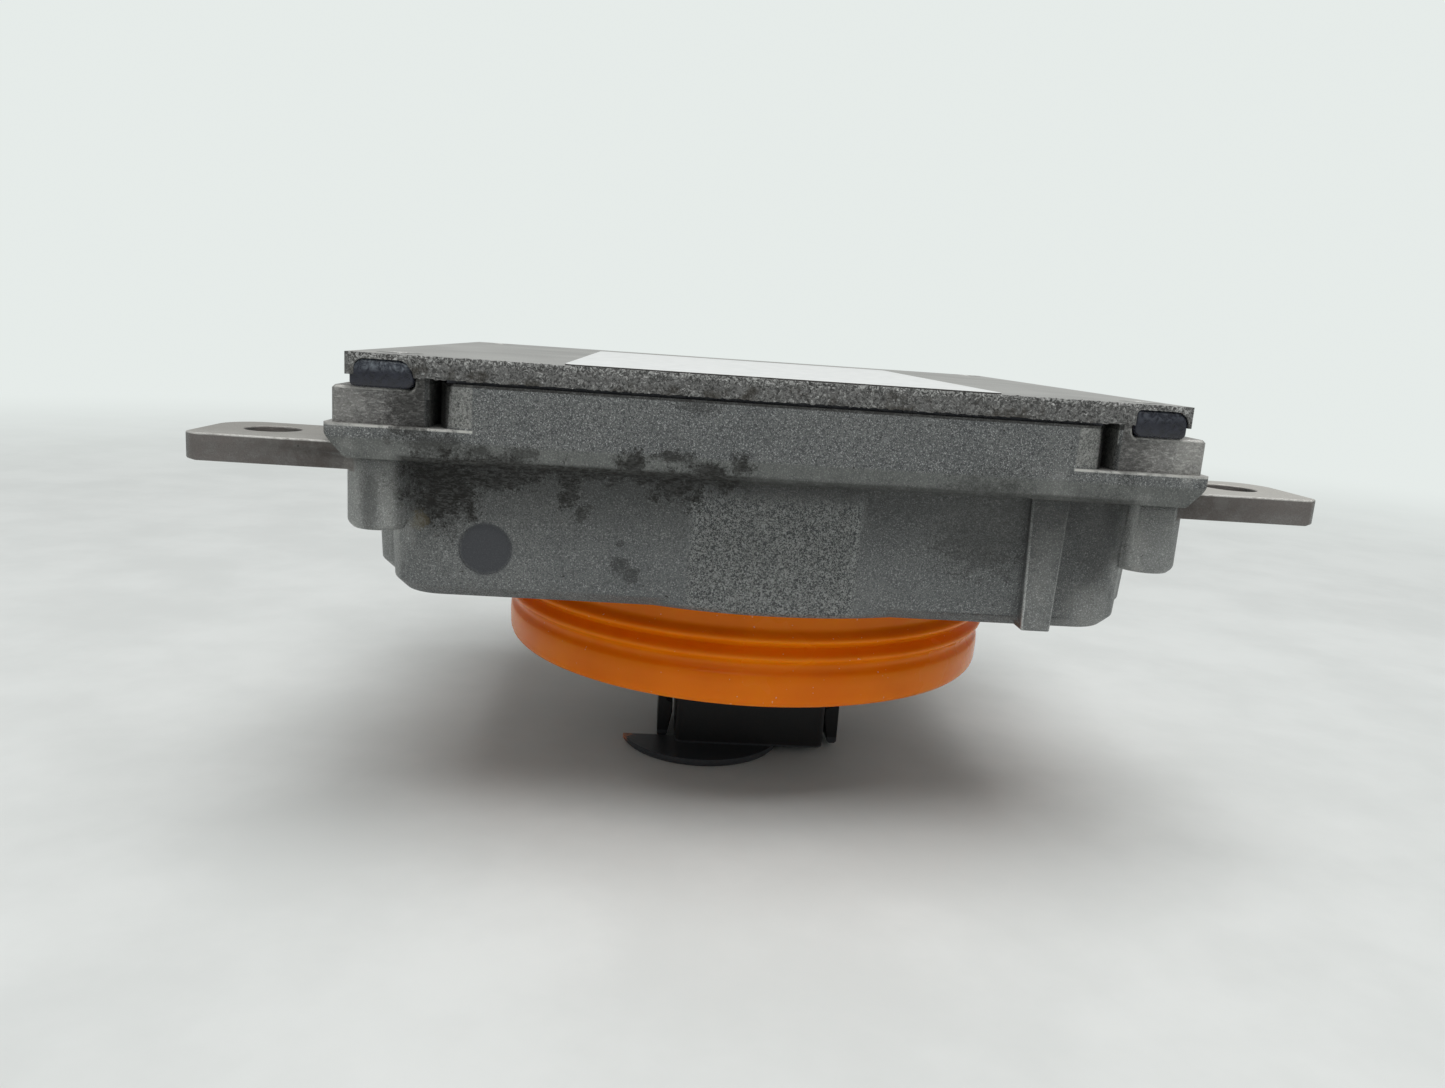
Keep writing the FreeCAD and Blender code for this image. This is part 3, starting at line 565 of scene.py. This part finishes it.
def cast_aluminium():
    """Blasted die-casting: sparkling grain, coarser on the collar, with old grime and painted shade at the
    flange, and painted highlights.
    """
    material, tree, shader = material_of("cast_aluminium")
    at = CastingField(tree)
    tint = tarnished(tree, at, plain_metal(tree, at))
    tint = highlit_lips(tree, at, painted_highlight_patches(tree, at, tint))
    grime_and_shade = grime_and_shade_mask(tree, at)
    pits = ramp(tree, noise(tree, 0.55 * MM, 1.5, 0.5), 0.2, 0.27, 0.8, 0.0)
    wax = all_of(tree, spot(tree, (-39.3, -38.5, 18.9), (0.9, 6, 0.9), at.ragged), 0.3)
    mark = ejector_mark(tree, at)
    # Grime with painted shade, pits, a wax spot and the ejector mark, laid on in turn
    for mask, colour in ((grime_and_shade, (0.010, 0.0094, 0.0075)), (pits, (0.03, 0.029, 0.025)),
                         (wax, (0.2, 0.16, 0.08)), (all_of(tree, mark, 0.93), (0.058, 0.060, 0.068))):
        tint = blend_colours(tree, mask, tint, colour)

    feed(tree, shader.inputs["Base Color"], tint)
    feed(tree, shader.inputs["Metallic"], ramp(tree, grime_and_shade, 0.0, 1.0, 0.45, 0.05))
    dull = ramp(tree, at.fine, 0.35, 0.7, 0.62, 0.4)
    feed(tree, shader.inputs["Roughness"], any_of(tree, dull, all_of(tree, grime_and_shade, 0.8)))
    unpressed = ramp(tree, mark, 0.0, 1.0, 1.0, 0.35)
    relief = bump(tree, all_of(tree, at.fine, unpressed), 0.05 * MM)
    relief = bump(tree, all_of(tree, at.grain, unpressed), 0.08 * MM, relief)
    relief = bump(tree, all_of(tree, at.worms, at.collar), 0.2 * MM, relief)
    feed(tree, shader.inputs["Normal"], relief)
    return material


# ---- The other materials -------------------------------------------------------------------
def sheared_plate():
    """Lid: dull on top, its cut front edge torn, bright and dirty, with a painted highlight along its upper
    rim.
    """
    material, tree, shader = material_of("lid_plate")
    y, z = along(tree, "Y"), along(tree, "Z")
    fine = noise(tree, 0.22 * MM, 2.0, 0.6)
    torn = noise(tree, 0.42 * MM, 3.0, 0.6, 1.6)
    clouds = noise(tree, 12 * MM, 3.0, 0.5)
    blotches = noise(tree, 3.5 * MM, 4.0, 0.65)
    edge = fade(tree, y, FRONT + 0.35 * MM, FRONT + 0.8 * MM)
    tint = two_tone(tree, clouds, 0.3, 0.7, (0.42, 0.422, 0.405), (0.50, 0.502, 0.48))
    tint = blend_colours(tree, ramp(tree, fine, 0.5, 0.75, 0.0, 0.4), tint, (0.6, 0.6, 0.58))
    cut = two_tone(tree, torn, 0.36, 0.54, (0.075, 0.074, 0.072), (0.21, 0.209, 0.204))
    # Flecks thicker towards the top of the cut edge: a painted highlight along its upper rim
    flecks = sum_of(tree, torn, ramp(tree, z, LID_HIGH[2] - 1.1 * MM, LID_HIGH[2], -0.03, 0.07))
    cut = two_tone(tree, flecks, 0.53, 0.7, cut, (0.56, 0.56, 0.545))
    dirt = sum_of(tree, blotches, ramp(tree, z, LID_LOW[2] + 1.4 * MM, LID_HIGH[2], 0.08, -0.05))
    cut = blend_colours(tree, ramp(tree, dirt, 0.54, 0.7, 0.0, 0.75), cut, (0.05, 0.043, 0.034))
    feed(tree, shader.inputs["Base Color"], blend_colours(tree, edge, tint, cut))
    shader.inputs["Metallic"].default_value = 0.45
    feed(tree, shader.inputs["Roughness"], ramp(tree, fine, 0.3, 0.7, 0.6, 0.42))
    relief = bump(tree, fine, 0.04 * MM)
    feed(tree, shader.inputs["Normal"], bump(tree, all_of(tree, torn, edge), 0.25 * MM, relief))
    return material


def orange_silicone():
    """Glossy moulded silicone, a little see-through, with dust caught on its lips."""
    material, tree, shader = material_of("orange_silicone")
    clouds = noise(tree, 10 * MM, 3.0, 0.5)
    dust = noise(tree, 0.35 * MM, 1.0, 0.5)
    tint = two_tone(tree, clouds, 0.3, 0.7, (0.78, 0.172, 0.001), (0.86, 0.21, 0.0015))
    tint = two_tone(tree, dust, 0.76, 0.8, tint, (0.8, 0.5, 0.3))
    feed(tree, shader.inputs["Base Color"], tint)
    feed(tree, shader.inputs["Roughness"], ramp(tree, clouds, 0.3, 0.7, 0.2, 0.28))
    shader.inputs["Specular IOR Level"].default_value = 0.14
    shader.inputs["Subsurface Weight"].default_value = 0.6
    shader.inputs["Subsurface Radius"].default_value = (1.0, 0.35, 0.08)
    shader.inputs["Subsurface Scale"].default_value = 3.0 * MM
    feed(tree, shader.inputs["Normal"], bump(tree, noise(tree, 2.5 * MM, 2.0), 0.03 * MM))
    return material


def label_film():
    """Bare white film, its cut edge painted dark: a painted shadow under the film's edge."""
    material, tree, shader = material_of("label_film")
    fibre = noise(tree, 1.5 * MM, 4.0, 0.6)
    tint = two_tone(tree, fibre, 0.3, 0.7, (0.80, 0.82, 0.81), (0.86, 0.875, 0.865))
    # Painted shadow: the film's cut edge, where it faces sideways, painted dark
    side = fade(tree, facing(tree, "Z"), 0.5, 0.8)
    feed(tree, shader.inputs["Base Color"], blend_colours(tree, side, tint, (0.07, 0.065, 0.06)))
    feed(tree, shader.inputs["Roughness"], ramp(tree, fibre, 0.3, 0.7, 0.42, 0.5))
    feed(tree, shader.inputs["Normal"], bump(tree, fibre, 0.01 * MM))
    return material


def black_plastic():
    """Satin moulded plastic; its lowest shelf painted paler, a painted highlight as lit from above, with a
    painted reflection of the orange seal at the shelf's end.
    """
    material, tree, shader = material_of("black_plastic")
    pattern = noise(tree, 0.3 * MM, 3.0, 0.6)
    tint = two_tone(tree, pattern, 0.35, 0.7, (0.004, 0.004, 0.0045), (0.007, 0.007, 0.008))
    # Painted light: the lowest 1.3 mm, the shelf, painted paler, as lit from above
    painted_light = two_tone(tree, pattern, 0.35, 0.7, (0.036, 0.039, 0.044), (0.050, 0.054, 0.060))
    shelf_light = fade(tree, along(tree, "Z"), FLOOR + 1.3 * MM, FLOOR + 1.4 * MM)
    tint = blend_colours(tree, shelf_light, tint, painted_light)
    flecks = all_of(tree, less(tree, pattern, 0.5), 3.0)
    # Painted reflection of the orange seal on the shelf's end
    seal_reflection = all_of(tree, spot(tree, (-16.4, -5.5, -17.2), (1.1, 2.2, 1.0), flecks), 0.8)
    feed(tree, shader.inputs["Base Color"], blend_colours(tree, seal_reflection, tint, (0.62, 0.2, 0.07)))
    feed(tree, shader.inputs["Roughness"], ramp(tree, pattern, 0.3, 0.7, 0.36, 0.46))
    shader.inputs["Specular IOR Level"].default_value = 0.35
    feed(tree, shader.inputs["Normal"], bump(tree, pattern, 0.015 * MM))
    return material


def black_sealant():
    """Blue-black rubbery sealant, scuffed, paler on its swollen upper side with dust and painted light,
    most on the left.
    """
    material, tree, shader = material_of("black_sealant")
    scuffs = noise(tree, 0.7 * MM, 4.0, 0.7, 0.6)
    # The upper half paler: dust, and painted light on its upward slope
    upper = all_of(tree, ramp(tree, along(tree, "Z"), LID_LOW[2] + 1.6 * MM, LID_LOW[2] + 2.4 * MM),
                   ramp(tree, along(tree, "X"), -5 * MM, 5 * MM, 1.0, 0.3))
    tint = two_tone(tree, scuffs, 0.35, 0.65, (0.008, 0.009, 0.016), (0.020, 0.022, 0.036))
    dust_and_light = two_tone(tree, scuffs, 0.42, 0.68, (0.030, 0.034, 0.046), (0.17, 0.19, 0.215))
    feed(tree, shader.inputs["Base Color"], blend_colours(tree, upper, tint, dust_and_light))
    feed(tree, shader.inputs["Roughness"], ramp(tree, scuffs, 0.3, 0.7, 0.22, 0.4))
    feed(tree, shader.inputs["Normal"], bump(tree, scuffs, 0.08 * MM))
    return material


def plain_finish(name, dark, light, size, roughness, metallic=0.0):
    """Moulded, plated or sleeved finish: two close tints in a fine pattern, with faint relief."""
    material, tree, shader = material_of(name)
    pattern = noise(tree, size * MM, 3.0, 0.6)
    feed(tree, shader.inputs["Base Color"], two_tone(tree, pattern, 0.35, 0.7, dark, light))
    feed(tree, shader.inputs["Roughness"],
         ramp(tree, pattern, 0.3, 0.7, roughness - 0.06, roughness + 0.06))
    shader.inputs["Metallic"].default_value = metallic
    feed(tree, shader.inputs["Normal"], bump(tree, pattern, 0.02 * MM))
    return material


# Dark tint, light tint, size of the pattern in millimetres, roughness, and metallic if not 0
PLAIN_FINISHES = {
    "black_rubber": ((0.014, 0.014, 0.014), (0.024, 0.024, 0.024), 0.4, 0.7),
    "zinc_steel": ((0.34, 0.34, 0.33), (0.48, 0.475, 0.45), 0.5, 0.4, 1.0),
    "tinned_contacts": ((0.6, 0.58, 0.53), (0.74, 0.72, 0.68), 0.6, 0.25, 1.0),
    "green_board": ((0.02, 0.12, 0.05), (0.03, 0.17, 0.075), 3.0, 0.35),
    "ferrite": ((0.05, 0.048, 0.048), (0.09, 0.087, 0.085), 0.4, 0.6),
    "enamelled_copper": ((0.42, 0.15, 0.05), (0.55, 0.23, 0.09), 0.5, 0.25, 0.9),
    "can_sleeve": ((0.1, 0.11, 0.13), (0.14, 0.15, 0.18), 1.0, 0.35),
    "film_capacitor_case": ((0.35, 0.05, 0.02), (0.45, 0.08, 0.03), 1.0, 0.3),
    "package_black": ((0.02, 0.02, 0.022), (0.032, 0.032, 0.034), 0.3, 0.55),
    "grey_pad": ((0.33, 0.35, 0.37), (0.42, 0.44, 0.46), 0.6, 0.7),
    "spring_steel": ((0.45, 0.45, 0.46), (0.58, 0.58, 0.6), 0.8, 0.3, 1.0),
}


def all_finishes():
    """Every material of the part, by the name of its slot."""
    finishes = {name: plain_finish(name, *values) for name, values in PLAIN_FINISHES.items()}
    finishes["cast_aluminium"] = cast_aluminium()
    finishes["lid_plate"] = sheared_plate()
    finishes["orange_silicone"] = orange_silicone()
    finishes["label_film"] = label_film()
    finishes["black_plastic"] = black_plastic()
    finishes["black_sealant"] = black_sealant()
    return finishes


def dress(piece, material):
    piece.data.materials.clear()
    piece.data.materials.append(material)


# ---- Pieces --------------------------------------------------------------------------------
def softened_copy(node, name, radius):
    """Flat copy of a CAD node whose sharp edges are rounded off, as far as they have room."""
    piece = flat_copy(node, name)
    shape_with(piece, "BEVEL", width=radius, segments=3, limit_method="ANGLE",
               angle_limit=math.radians(28), use_clamp_overlap=True)
    smooth_but_flat(piece)
    return piece


def casting():
    """The housing, its rims and lips rounded as a die leaves them."""
    body = flat_copy("housing", "casting")
    rim_room = 0.4 * MM

    def on_rim(a, b):
        return min(max(aside(end) - FLANGE_HALF_WIDTH, abs(end.y) - FLANGE_HALF_DEPTH)
                   for end in (a, b)) > -rim_room

    def lug_corner(a, b):
        return (max(abs(aside(a) - LUG_STEP), abs(aside(b) - LUG_STEP)) < 2 * SAME
                and min(a.z, b.z) > LUG_TOP - 0.32 * MM and max(a.z, b.z) < LUG_TOP + 2 * SAME)

    def rib_edge(a, b):
        return (max(a.y, b.y) < RIB_FRONT + SAME and abs(a.z - b.z) > 5 * MM
                and max(abs(a.x - RIB_MIDDLE), abs(b.x - RIB_MIDDLE)) < 2.4 * MM)

    def tub_rim(a, b):
        return (max(a.z, b.z) < TUB_UNDER + 2.4 * MM and min(a.z, b.z) > TUB_UNDER - 0.1 * MM
                and min(a.xy.length, b.xy.length) > 35 * MM and abs(a.z - b.z) < 0.05 * MM)

    # Fillet between each lug's top, its eased front edge included, and the step that carries the lid
    round_edges(body, lug_corner, 0.68 * MM, 5, False)
    round_edges(body, lambda a, b: level(a, b, FLANGE_TOP) and on_rim(a, b), 0.25 * MM)
    round_edges(body, lambda a, b: level(a, b, FLANGE_UNDER) and on_rim(a, b)
                and abs(a.y - b.y) < SAME, 0.25 * MM)
    for height in (EAR_TOP, EAR_UNDER):
        round_edges(body, lambda a, b: level(a, b, height) and max(aside(a), aside(b)) > EAR_ROOT,
                    0.22 * MM)
    for height in (BOSS_END, BOSS_END + 0.6 * MM):
        round_edges(body, lambda a, b: level(a, b, height) and min(aside(a), aside(b)) > BOSS_SIDE,
                    0.35 * MM)
    round_edges(body, rib_edge, 0.22 * MM)
    round_edges(body, tub_rim, 0.9 * MM, 4)
    smooth_but_flat(body)
    return body


def spun_ring(name, outline, steps):
    """Closed outline of (radius, height) points, drawn as a wire and spun round the Z axis."""
    bpy.ops.mesh.primitive_plane_add(size=MM)
    piece = named(name)
    bpy.ops.object.mode_set(mode="EDIT")
    bpy.ops.mesh.select_mode(type="VERT")
    bpy.ops.mesh.select_all(action="SELECT")
    bpy.ops.mesh.merge(type="CENTER")
    radius, height = outline[0]
    bpy.ops.transform.translate(value=(radius, 0, height))
    for (old_radius, old_height), (radius, height) in zip(outline, outline[1:]):
        bpy.ops.mesh.extrude_region_move(
            TRANSFORM_OT_translate={"value": (radius - old_radius, 0, height - old_height)})
    bpy.ops.mesh.select_all(action="SELECT")
    bpy.ops.mesh.spin(steps=steps, angle=2 * math.pi, center=(0, 0, 0), axis=(0, 0, 1))
    bpy.ops.mesh.select_all(action="SELECT")
    bpy.ops.mesh.remove_doubles(threshold=0.001 * MM)
    bpy.ops.mesh.normals_make_consistent(inside=False)
    bpy.ops.object.mode_set(mode="OBJECT")
    return piece


# The seal's section, in millimetres
LIP_HEIGHTS = (6.25, 4.1)
LIP_HALF = 1.075
LIP_STEPS = 5           # from a lip's middle to its foot
LIP_RADIUS, GROOVE_RADIUS, BAND_RADIUS, BORE_RADIUS = 34.3, 33.2, 33.9, 30.32
SEAL_TOP, SEAL_BOTTOM = 10.38, -2.25
ROUND_STEPS = 144       # of the spin


def seal():
    """Two rolling lips over a plain band that swells a little at its middle."""
    outline = [(BORE_RADIUS, SEAL_TOP), (GROOVE_RADIUS, SEAL_TOP)]
    outline.append((GROOVE_RADIUS, LIP_HEIGHTS[0] + LIP_HALF + 0.3))
    for middle in LIP_HEIGHTS:
        for step in range(-LIP_STEPS, LIP_STEPS):
            height = -step / LIP_STEPS
            bulge = (1 + math.cos(math.pi * height)) / 2
            outline.append((GROOVE_RADIUS + (LIP_RADIUS - GROOVE_RADIUS) * bulge ** 0.8,
                            middle + height * LIP_HALF))
    outline += [(GROOVE_RADIUS, 2.75), (GROOVE_RADIUS + 0.05, 2.45), (GROOVE_RADIUS + 0.3, 2.1),
                (BAND_RADIUS - 0.12, 1.85), (BAND_RADIUS, 1.6), (BAND_RADIUS + 0.04, 0.6),
                (BAND_RADIUS, -0.6), (BAND_RADIUS - 0.05, -1.3), (BAND_RADIUS - 0.2, -1.75),
                (BAND_RADIUS - 0.5, -2.1), (BAND_RADIUS - 0.9, SEAL_BOTTOM),
                (BORE_RADIUS + 0.4, SEAL_BOTTOM), (BORE_RADIUS, SEAL_BOTTOM + 0.35), outline[0]]
    ring = spun_ring("silicone_seal", [(radius * MM, height * MM) for radius, height in outline],
                     ROUND_STEPS)
    smooth(ring, 50)
    return ring


def notch_ends(side_x, side_y):
    """The X of a lid notch's inner and outer end, as the plate is finished."""
    inner, outer = NOTCH_WIDER.get((side_x, side_y), (0.0, 0.0))
    return (LID_MIDDLE + side_x * (NOTCH_INNER - inner), LID_MIDDLE + side_x * (NOTCH_OUTER + outer))


def widen_notches(plate):
    """Moves the ends of the front notches where the sealant pushed them."""
    for side_x, side_y in NOTCH_WIDER:
        for old, new in zip((NOTCH_INNER, NOTCH_OUTER), notch_ends(side_x, side_y)):
            old = LID_MIDDLE + side_x * old
            if abs(new - old) > SAME:
                take_up(plate)
                bpy.ops.object.mode_set(mode="EDIT")
                pick_faces(plate, lambda centre, normal: abs(centre.x - old) < SAME
                           and centre.y * side_y > NOTCH_MOUTH and centre.z > LID_UNDER)
                bpy.ops.transform.translate(value=(new - old, 0, 0))
                bpy.ops.object.mode_set(mode="OBJECT")


def round_notches(plate):
    """Rounds the upper corners of the notches, most at the front."""
    for side_x in (-1, 1):
        for side_y in (-1, 1):
            inner, outer = notch_ends(side_x, side_y)
            rounder = 1.5 * MM if side_y < 0 else 0.7 * MM
            for end, radius in ((inner, rounder if side_x < 0 else 0.5 * MM),
                                (outer, 1.0 * MM if side_x < 0 else rounder)):
                round_edges(plate, lambda a, b: level(a, b, NOTCH_TOP) and abs(a.x - end) < SAME
                            and abs(b.x - end) < SAME and a.y * side_y > NOTCH_MOUTH, radius, 5)


def torn_lid():
    """The lid with its notches finished and its cut front edge roughened."""
    plate = flat_copy("lid", "torn_lid")
    widen_notches(plate)
    round_notches(plate)
    torn_depth = 0.4 * MM
    torn_back = FRONT + torn_depth
    torn_half = NOTCH_INNER - torn_depth

    def furthest(a, b):
        return max(abs(a.x - LID_MIDDLE), abs(b.x - LID_MIDDLE))

    def long_edge(a, b):
        return (abs(a.x - b.x) > torn_depth and max(a.y, b.y) < torn_back + SAME
                and furthest(a, b) < torn_half + SAME and min(a.z, b.z) > LID_UNDER - SAME)

    def upright_edge(a, b):
        return (abs(a.z - b.z) > 1.5 * MM and max(a.y, b.y) < FRONT + SAME
                and furthest(a, b) < torn_half - SAME)

    take_up(plate)
    bpy.ops.object.mode_set(mode="EDIT")
    for cut_at, way in (((0, torn_back, 0), (0, 1, 0)), ((LID_MIDDLE - torn_half, 0, 0), (1, 0, 0)),
                        ((LID_MIDDLE + torn_half, 0, 0), (1, 0, 0))):
        bpy.ops.mesh.select_all(action="SELECT")
        bpy.ops.mesh.bisect(plane_co=cut_at, plane_no=way)
    # The torn face in 300 lengths, each hundredth cut in three, and nine heights
    for cuts in (99, 2):
        pick_edges(plate, long_edge)
        bpy.ops.mesh.subdivide(number_cuts=cuts)
    pick_edges(plate, upright_edge)
    bpy.ops.mesh.subdivide(number_cuts=8)
    pick_faces(plate, lambda centre, normal: abs(centre.y - FRONT) < SAME
               and abs(centre.x - LID_MIDDLE) < NOTCH_INNER - 0.7 * MM)
    bpy.ops.transform.vertex_random(offset=0.09 * MM, uniform=1.0, normal=0.0, seed=11)
    bpy.ops.object.mode_set(mode="OBJECT")
    bpy.ops.object.shade_flat()
    return plate


SEALANT_NODES = ("corner_seal_front_left", "corner_seal_front_right",
                 "corner_seal_rear_left", "corner_seal_rear_right")
# Each step of a bead's crown: how much narrower and lower it gets, and its way outward
CROWN_STEPS = ((0.985, 0.94, 0.17 * MM), (0.97, 0.87, 0.13 * MM), (0.95, 0.78, 0.07 * MM))


def sealant_block(name, low, high, ends):
    """A bead before it is rounded: a block whose upper half is as wide as the lid's notch."""
    bpy.ops.mesh.primitive_cube_add(size=1, location=[(a + b) / 2 for a, b in zip(low, high)])
    block = named(name)
    block.scale = [b - a for a, b in zip(low, high)]
    bpy.ops.object.transform_apply(location=True, rotation=True, scale=True)
    bpy.ops.object.mode_set(mode="EDIT")
    bpy.ops.mesh.select_all(action="SELECT")
    bpy.ops.mesh.bisect(plane_co=(0, 0, LID_UNDER - 2 * SAME), plane_no=(0, 0, 1))
    middle = (low[0] + high[0]) / 2
    for old, new in zip(sorted((low[0], high[0]), key=abs), ends):
        pick_edges(block, lambda a, b: min(a.z, b.z) > LID_UNDER and (a.x - middle) * (old - middle) > 0
                   and (b.x - middle) * (old - middle) > 0)
        bpy.ops.transform.translate(value=(new - old, 0, 0))
    bpy.ops.object.mode_set(mode="OBJECT")
    return block


def sealant_blob(node):
    """Bead squeezed into the lid's notch: a rounded pillow, fuller below the lid than in it."""
    low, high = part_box(node)
    side_x, side_y = (1 if low[0] > 0 else -1), (1 if low[1] > 0 else -1)
    inner, outer = notch_ends(side_x, side_y)
    blob = sealant_block(node + "_bead", low, high, (inner, outer))
    top = high[2] - SAME
    bottom = low[2] + 2 * SAME
    inner_top = 1.45 * MM if side_x < 0 else 0.5 * MM
    outer_top = 0.95 * MM if side_x < 0 else 1.45 * MM
    for upper, end, radius in ((True, inner, inner_top), (True, outer, outer_top),
                               (False, inner, 0.85 * MM), (False, outer, 0.5 * MM)):
        round_edges(blob, lambda a, b: abs(a.x - b.x) < 2 * SAME and abs(a.y - b.y) > MM
                    and (min(a.z, b.z) > top if upper else max(a.z, b.z) < bottom)
                    and abs(a.x - end) < 1.2 * MM, radius, 5)

    # Crowned face, set back and then drawn out in shrinking steps
    face = high[1] if side_y > 0 else low[1]
    take_up(blob)
    bpy.ops.object.mode_set(mode="EDIT")
    pick_faces(blob, lambda centre, normal: abs(centre.y - face) < SAME)
    bpy.ops.transform.translate(value=(0, -side_y * 0.4 * MM, 0))
    crown = ((low[0] + high[0]) / 2, face, (low[2] + high[2]) / 2)
    for width, height, outward in CROWN_STEPS:
        bpy.ops.mesh.extrude_region_move(TRANSFORM_OT_translate={"value": (0, side_y * outward, 0)})
        bpy.ops.transform.resize(value=(width, 1, height), center_override=crown)
    bpy.ops.object.mode_set(mode="OBJECT")
    smooth(blob, 50)
    return blob


def finish_all():
    """Gives every CAD node its material, and puts the new pieces in place of some of them."""
    finishes = all_finishes()
    slots = {part["node"]: part["material_slot"] for part in frame["record"]["subparts"]}
    for node, piece in frame["nodes"].items():
        dress(piece, finishes[slots[node]])

    def put(piece, node, body="module"):
        dress(piece, finishes[slots[node]])
        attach(piece, body)
        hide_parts(node)

    put(casting(), "housing")
    put(torn_lid(), "lid")
    put(seal(), "seal_ring")
    for node in SEALANT_NODES:
        put(sealant_blob(node), node)
    put(softened_copy("lid_screws", "countersunk_screws", 0.08 * MM), "lid_screws")
    put(softened_copy("header_shell", "plug_shroud", 0.18 * MM), "header_shell")
    put(softened_copy("latch_arm_left", "left_arm", 0.15 * MM), "latch_arm_left", "left_latch")
    put(softened_copy("latch_arm_right", "right_arm", 0.15 * MM), "latch_arm_right", "right_latch")


finish_all()


# ---- Studio --------------------------------------------------------------------------------
PALE = (0.79, 0.835, 0.815, 1)      # the far bench and the room behind it


def seen_or_mirrored(tree):
    """1 for a ray that looks straight at the surface, or by way of a shine or through glass."""
    path = tree.nodes.new("ShaderNodeLightPath")
    return any_of(tree, path.outputs["Is Camera Ray"], path.outputs["Is Glossy Ray"],
                  path.outputs["Is Transmission Ray"])


def mixed(tree, amount, first, second, output):
    """Two shaders mixed by this amount, put on the tree's output."""
    mix = tree.nodes.new("ShaderNodeMixShader")
    feed(tree, mix.inputs[0], amount)
    feed(tree, mix.inputs[1], first)
    feed(tree, mix.inputs[2], second)
    feed(tree, tree.nodes[output].inputs["Surface"], mix.outputs["Shader"])


def bench():
    """Pale bench top under the part; far off it turns into the same tone as the room."""
    bpy.ops.mesh.primitive_plane_add(size=8)
    sheet = named("bench")
    bpy.ops.object.mode_set(mode="EDIT")
    bpy.ops.transform.translate(value=(0, 0, FLOOR))
    bpy.ops.object.mode_set(mode="OBJECT")
    material, tree, shader = material_of("pale_bench")
    stain = noise(tree, 0.03, 5.0, 0.6)
    feed(tree, shader.inputs["Base Color"],
         two_tone(tree, stain, 0.3, 0.7, (0.69, 0.71, 0.697), (0.76, 0.78, 0.767)))
    shader.inputs["Roughness"].default_value = 0.6
    far = ramp(tree, distance_to(tree, (0, 0, FLOOR)), 0.18, 0.6)
    glow = tree.nodes.new("ShaderNodeEmission")
    glow.inputs["Color"].default_value = PALE
    mixed(tree, all_of(tree, far, seen_or_mirrored(tree)), shader.outputs["BSDF"],
          glow.outputs["Emission"], "Material Output")
    dress(sheet, material)


def soft_light(name, place, aim, size, power):
    """Square lamp at a place, turned to its aim."""
    bpy.ops.object.light_add(type="AREA", location=place)
    lamp = bpy.context.object
    lamp.name = name
    lamp.data.size = size
    lamp.data.energy = power
    direction = Vector(aim) - Vector(place)
    lamp.rotation_euler = direction.to_track_quat("-Z", "Y").to_euler()


def studio_light():
    """Even light from the room, whose backdrop is the bench's far tone, and one lamp overhead."""
    world = bpy.data.worlds.new("studio")
    bpy.context.scene.world = world
    world.use_nodes = True
    tree = world.node_tree
    room = tree.nodes["Background"]
    room.inputs["Color"].default_value = (0.97, 1.0, 0.99, 1)
    room.inputs["Strength"].default_value = 0.34
    backdrop = tree.nodes.new("ShaderNodeBackground")
    backdrop.inputs["Color"].default_value = PALE
    seen = tree.nodes.new("ShaderNodeLightPath").outputs["Is Camera Ray"]
    mixed(tree, seen, room.outputs["Background"], backdrop.outputs["Background"], "World Output")
    soft_light("overhead", (0.06, -0.2, 1.0), (0, 0, 0), 0.9, 9.3)


CAMERA_PLACE = Vector((-13.96, -151.1, 40.87)) * MM
CAMERA_PITCH = math.radians(11.31)      # looking down
CAMERA_YAW = math.radians(3.87)         # turned towards +X
CAMERA_ROLL = math.radians(3.98)
SENSOR_WIDTH = 36                       # mm, as the focal length
FOCAL_LENGTH = 26.16


def camera():
    """The viewing camera, built from its pitch, yaw and roll."""
    forward = Vector((math.sin(CAMERA_YAW) * math.cos(CAMERA_PITCH),
                      math.cos(CAMERA_YAW) * math.cos(CAMERA_PITCH), -math.sin(CAMERA_PITCH)))
    sideways = Vector((math.cos(CAMERA_YAW), -math.sin(CAMERA_YAW), 0))
    upward = sideways.cross(forward)
    right = sideways * math.cos(CAMERA_ROLL) + upward * math.sin(CAMERA_ROLL)
    up = upward * math.cos(CAMERA_ROLL) - sideways * math.sin(CAMERA_ROLL)
    turn = Matrix((right, up, -forward)).transposed()
    bpy.ops.object.camera_add(location=CAMERA_PLACE, rotation=turn.to_euler())
    view = bpy.context.object
    view.data.lens = FOCAL_LENGTH
    view.data.sensor_width = SENSOR_WIDTH
    view.data.clip_start = 5 * MM
    bpy.context.scene.camera = view


bench()
studio_light()
camera()
bpy.context.scene.view_settings.view_transform = "Standard"
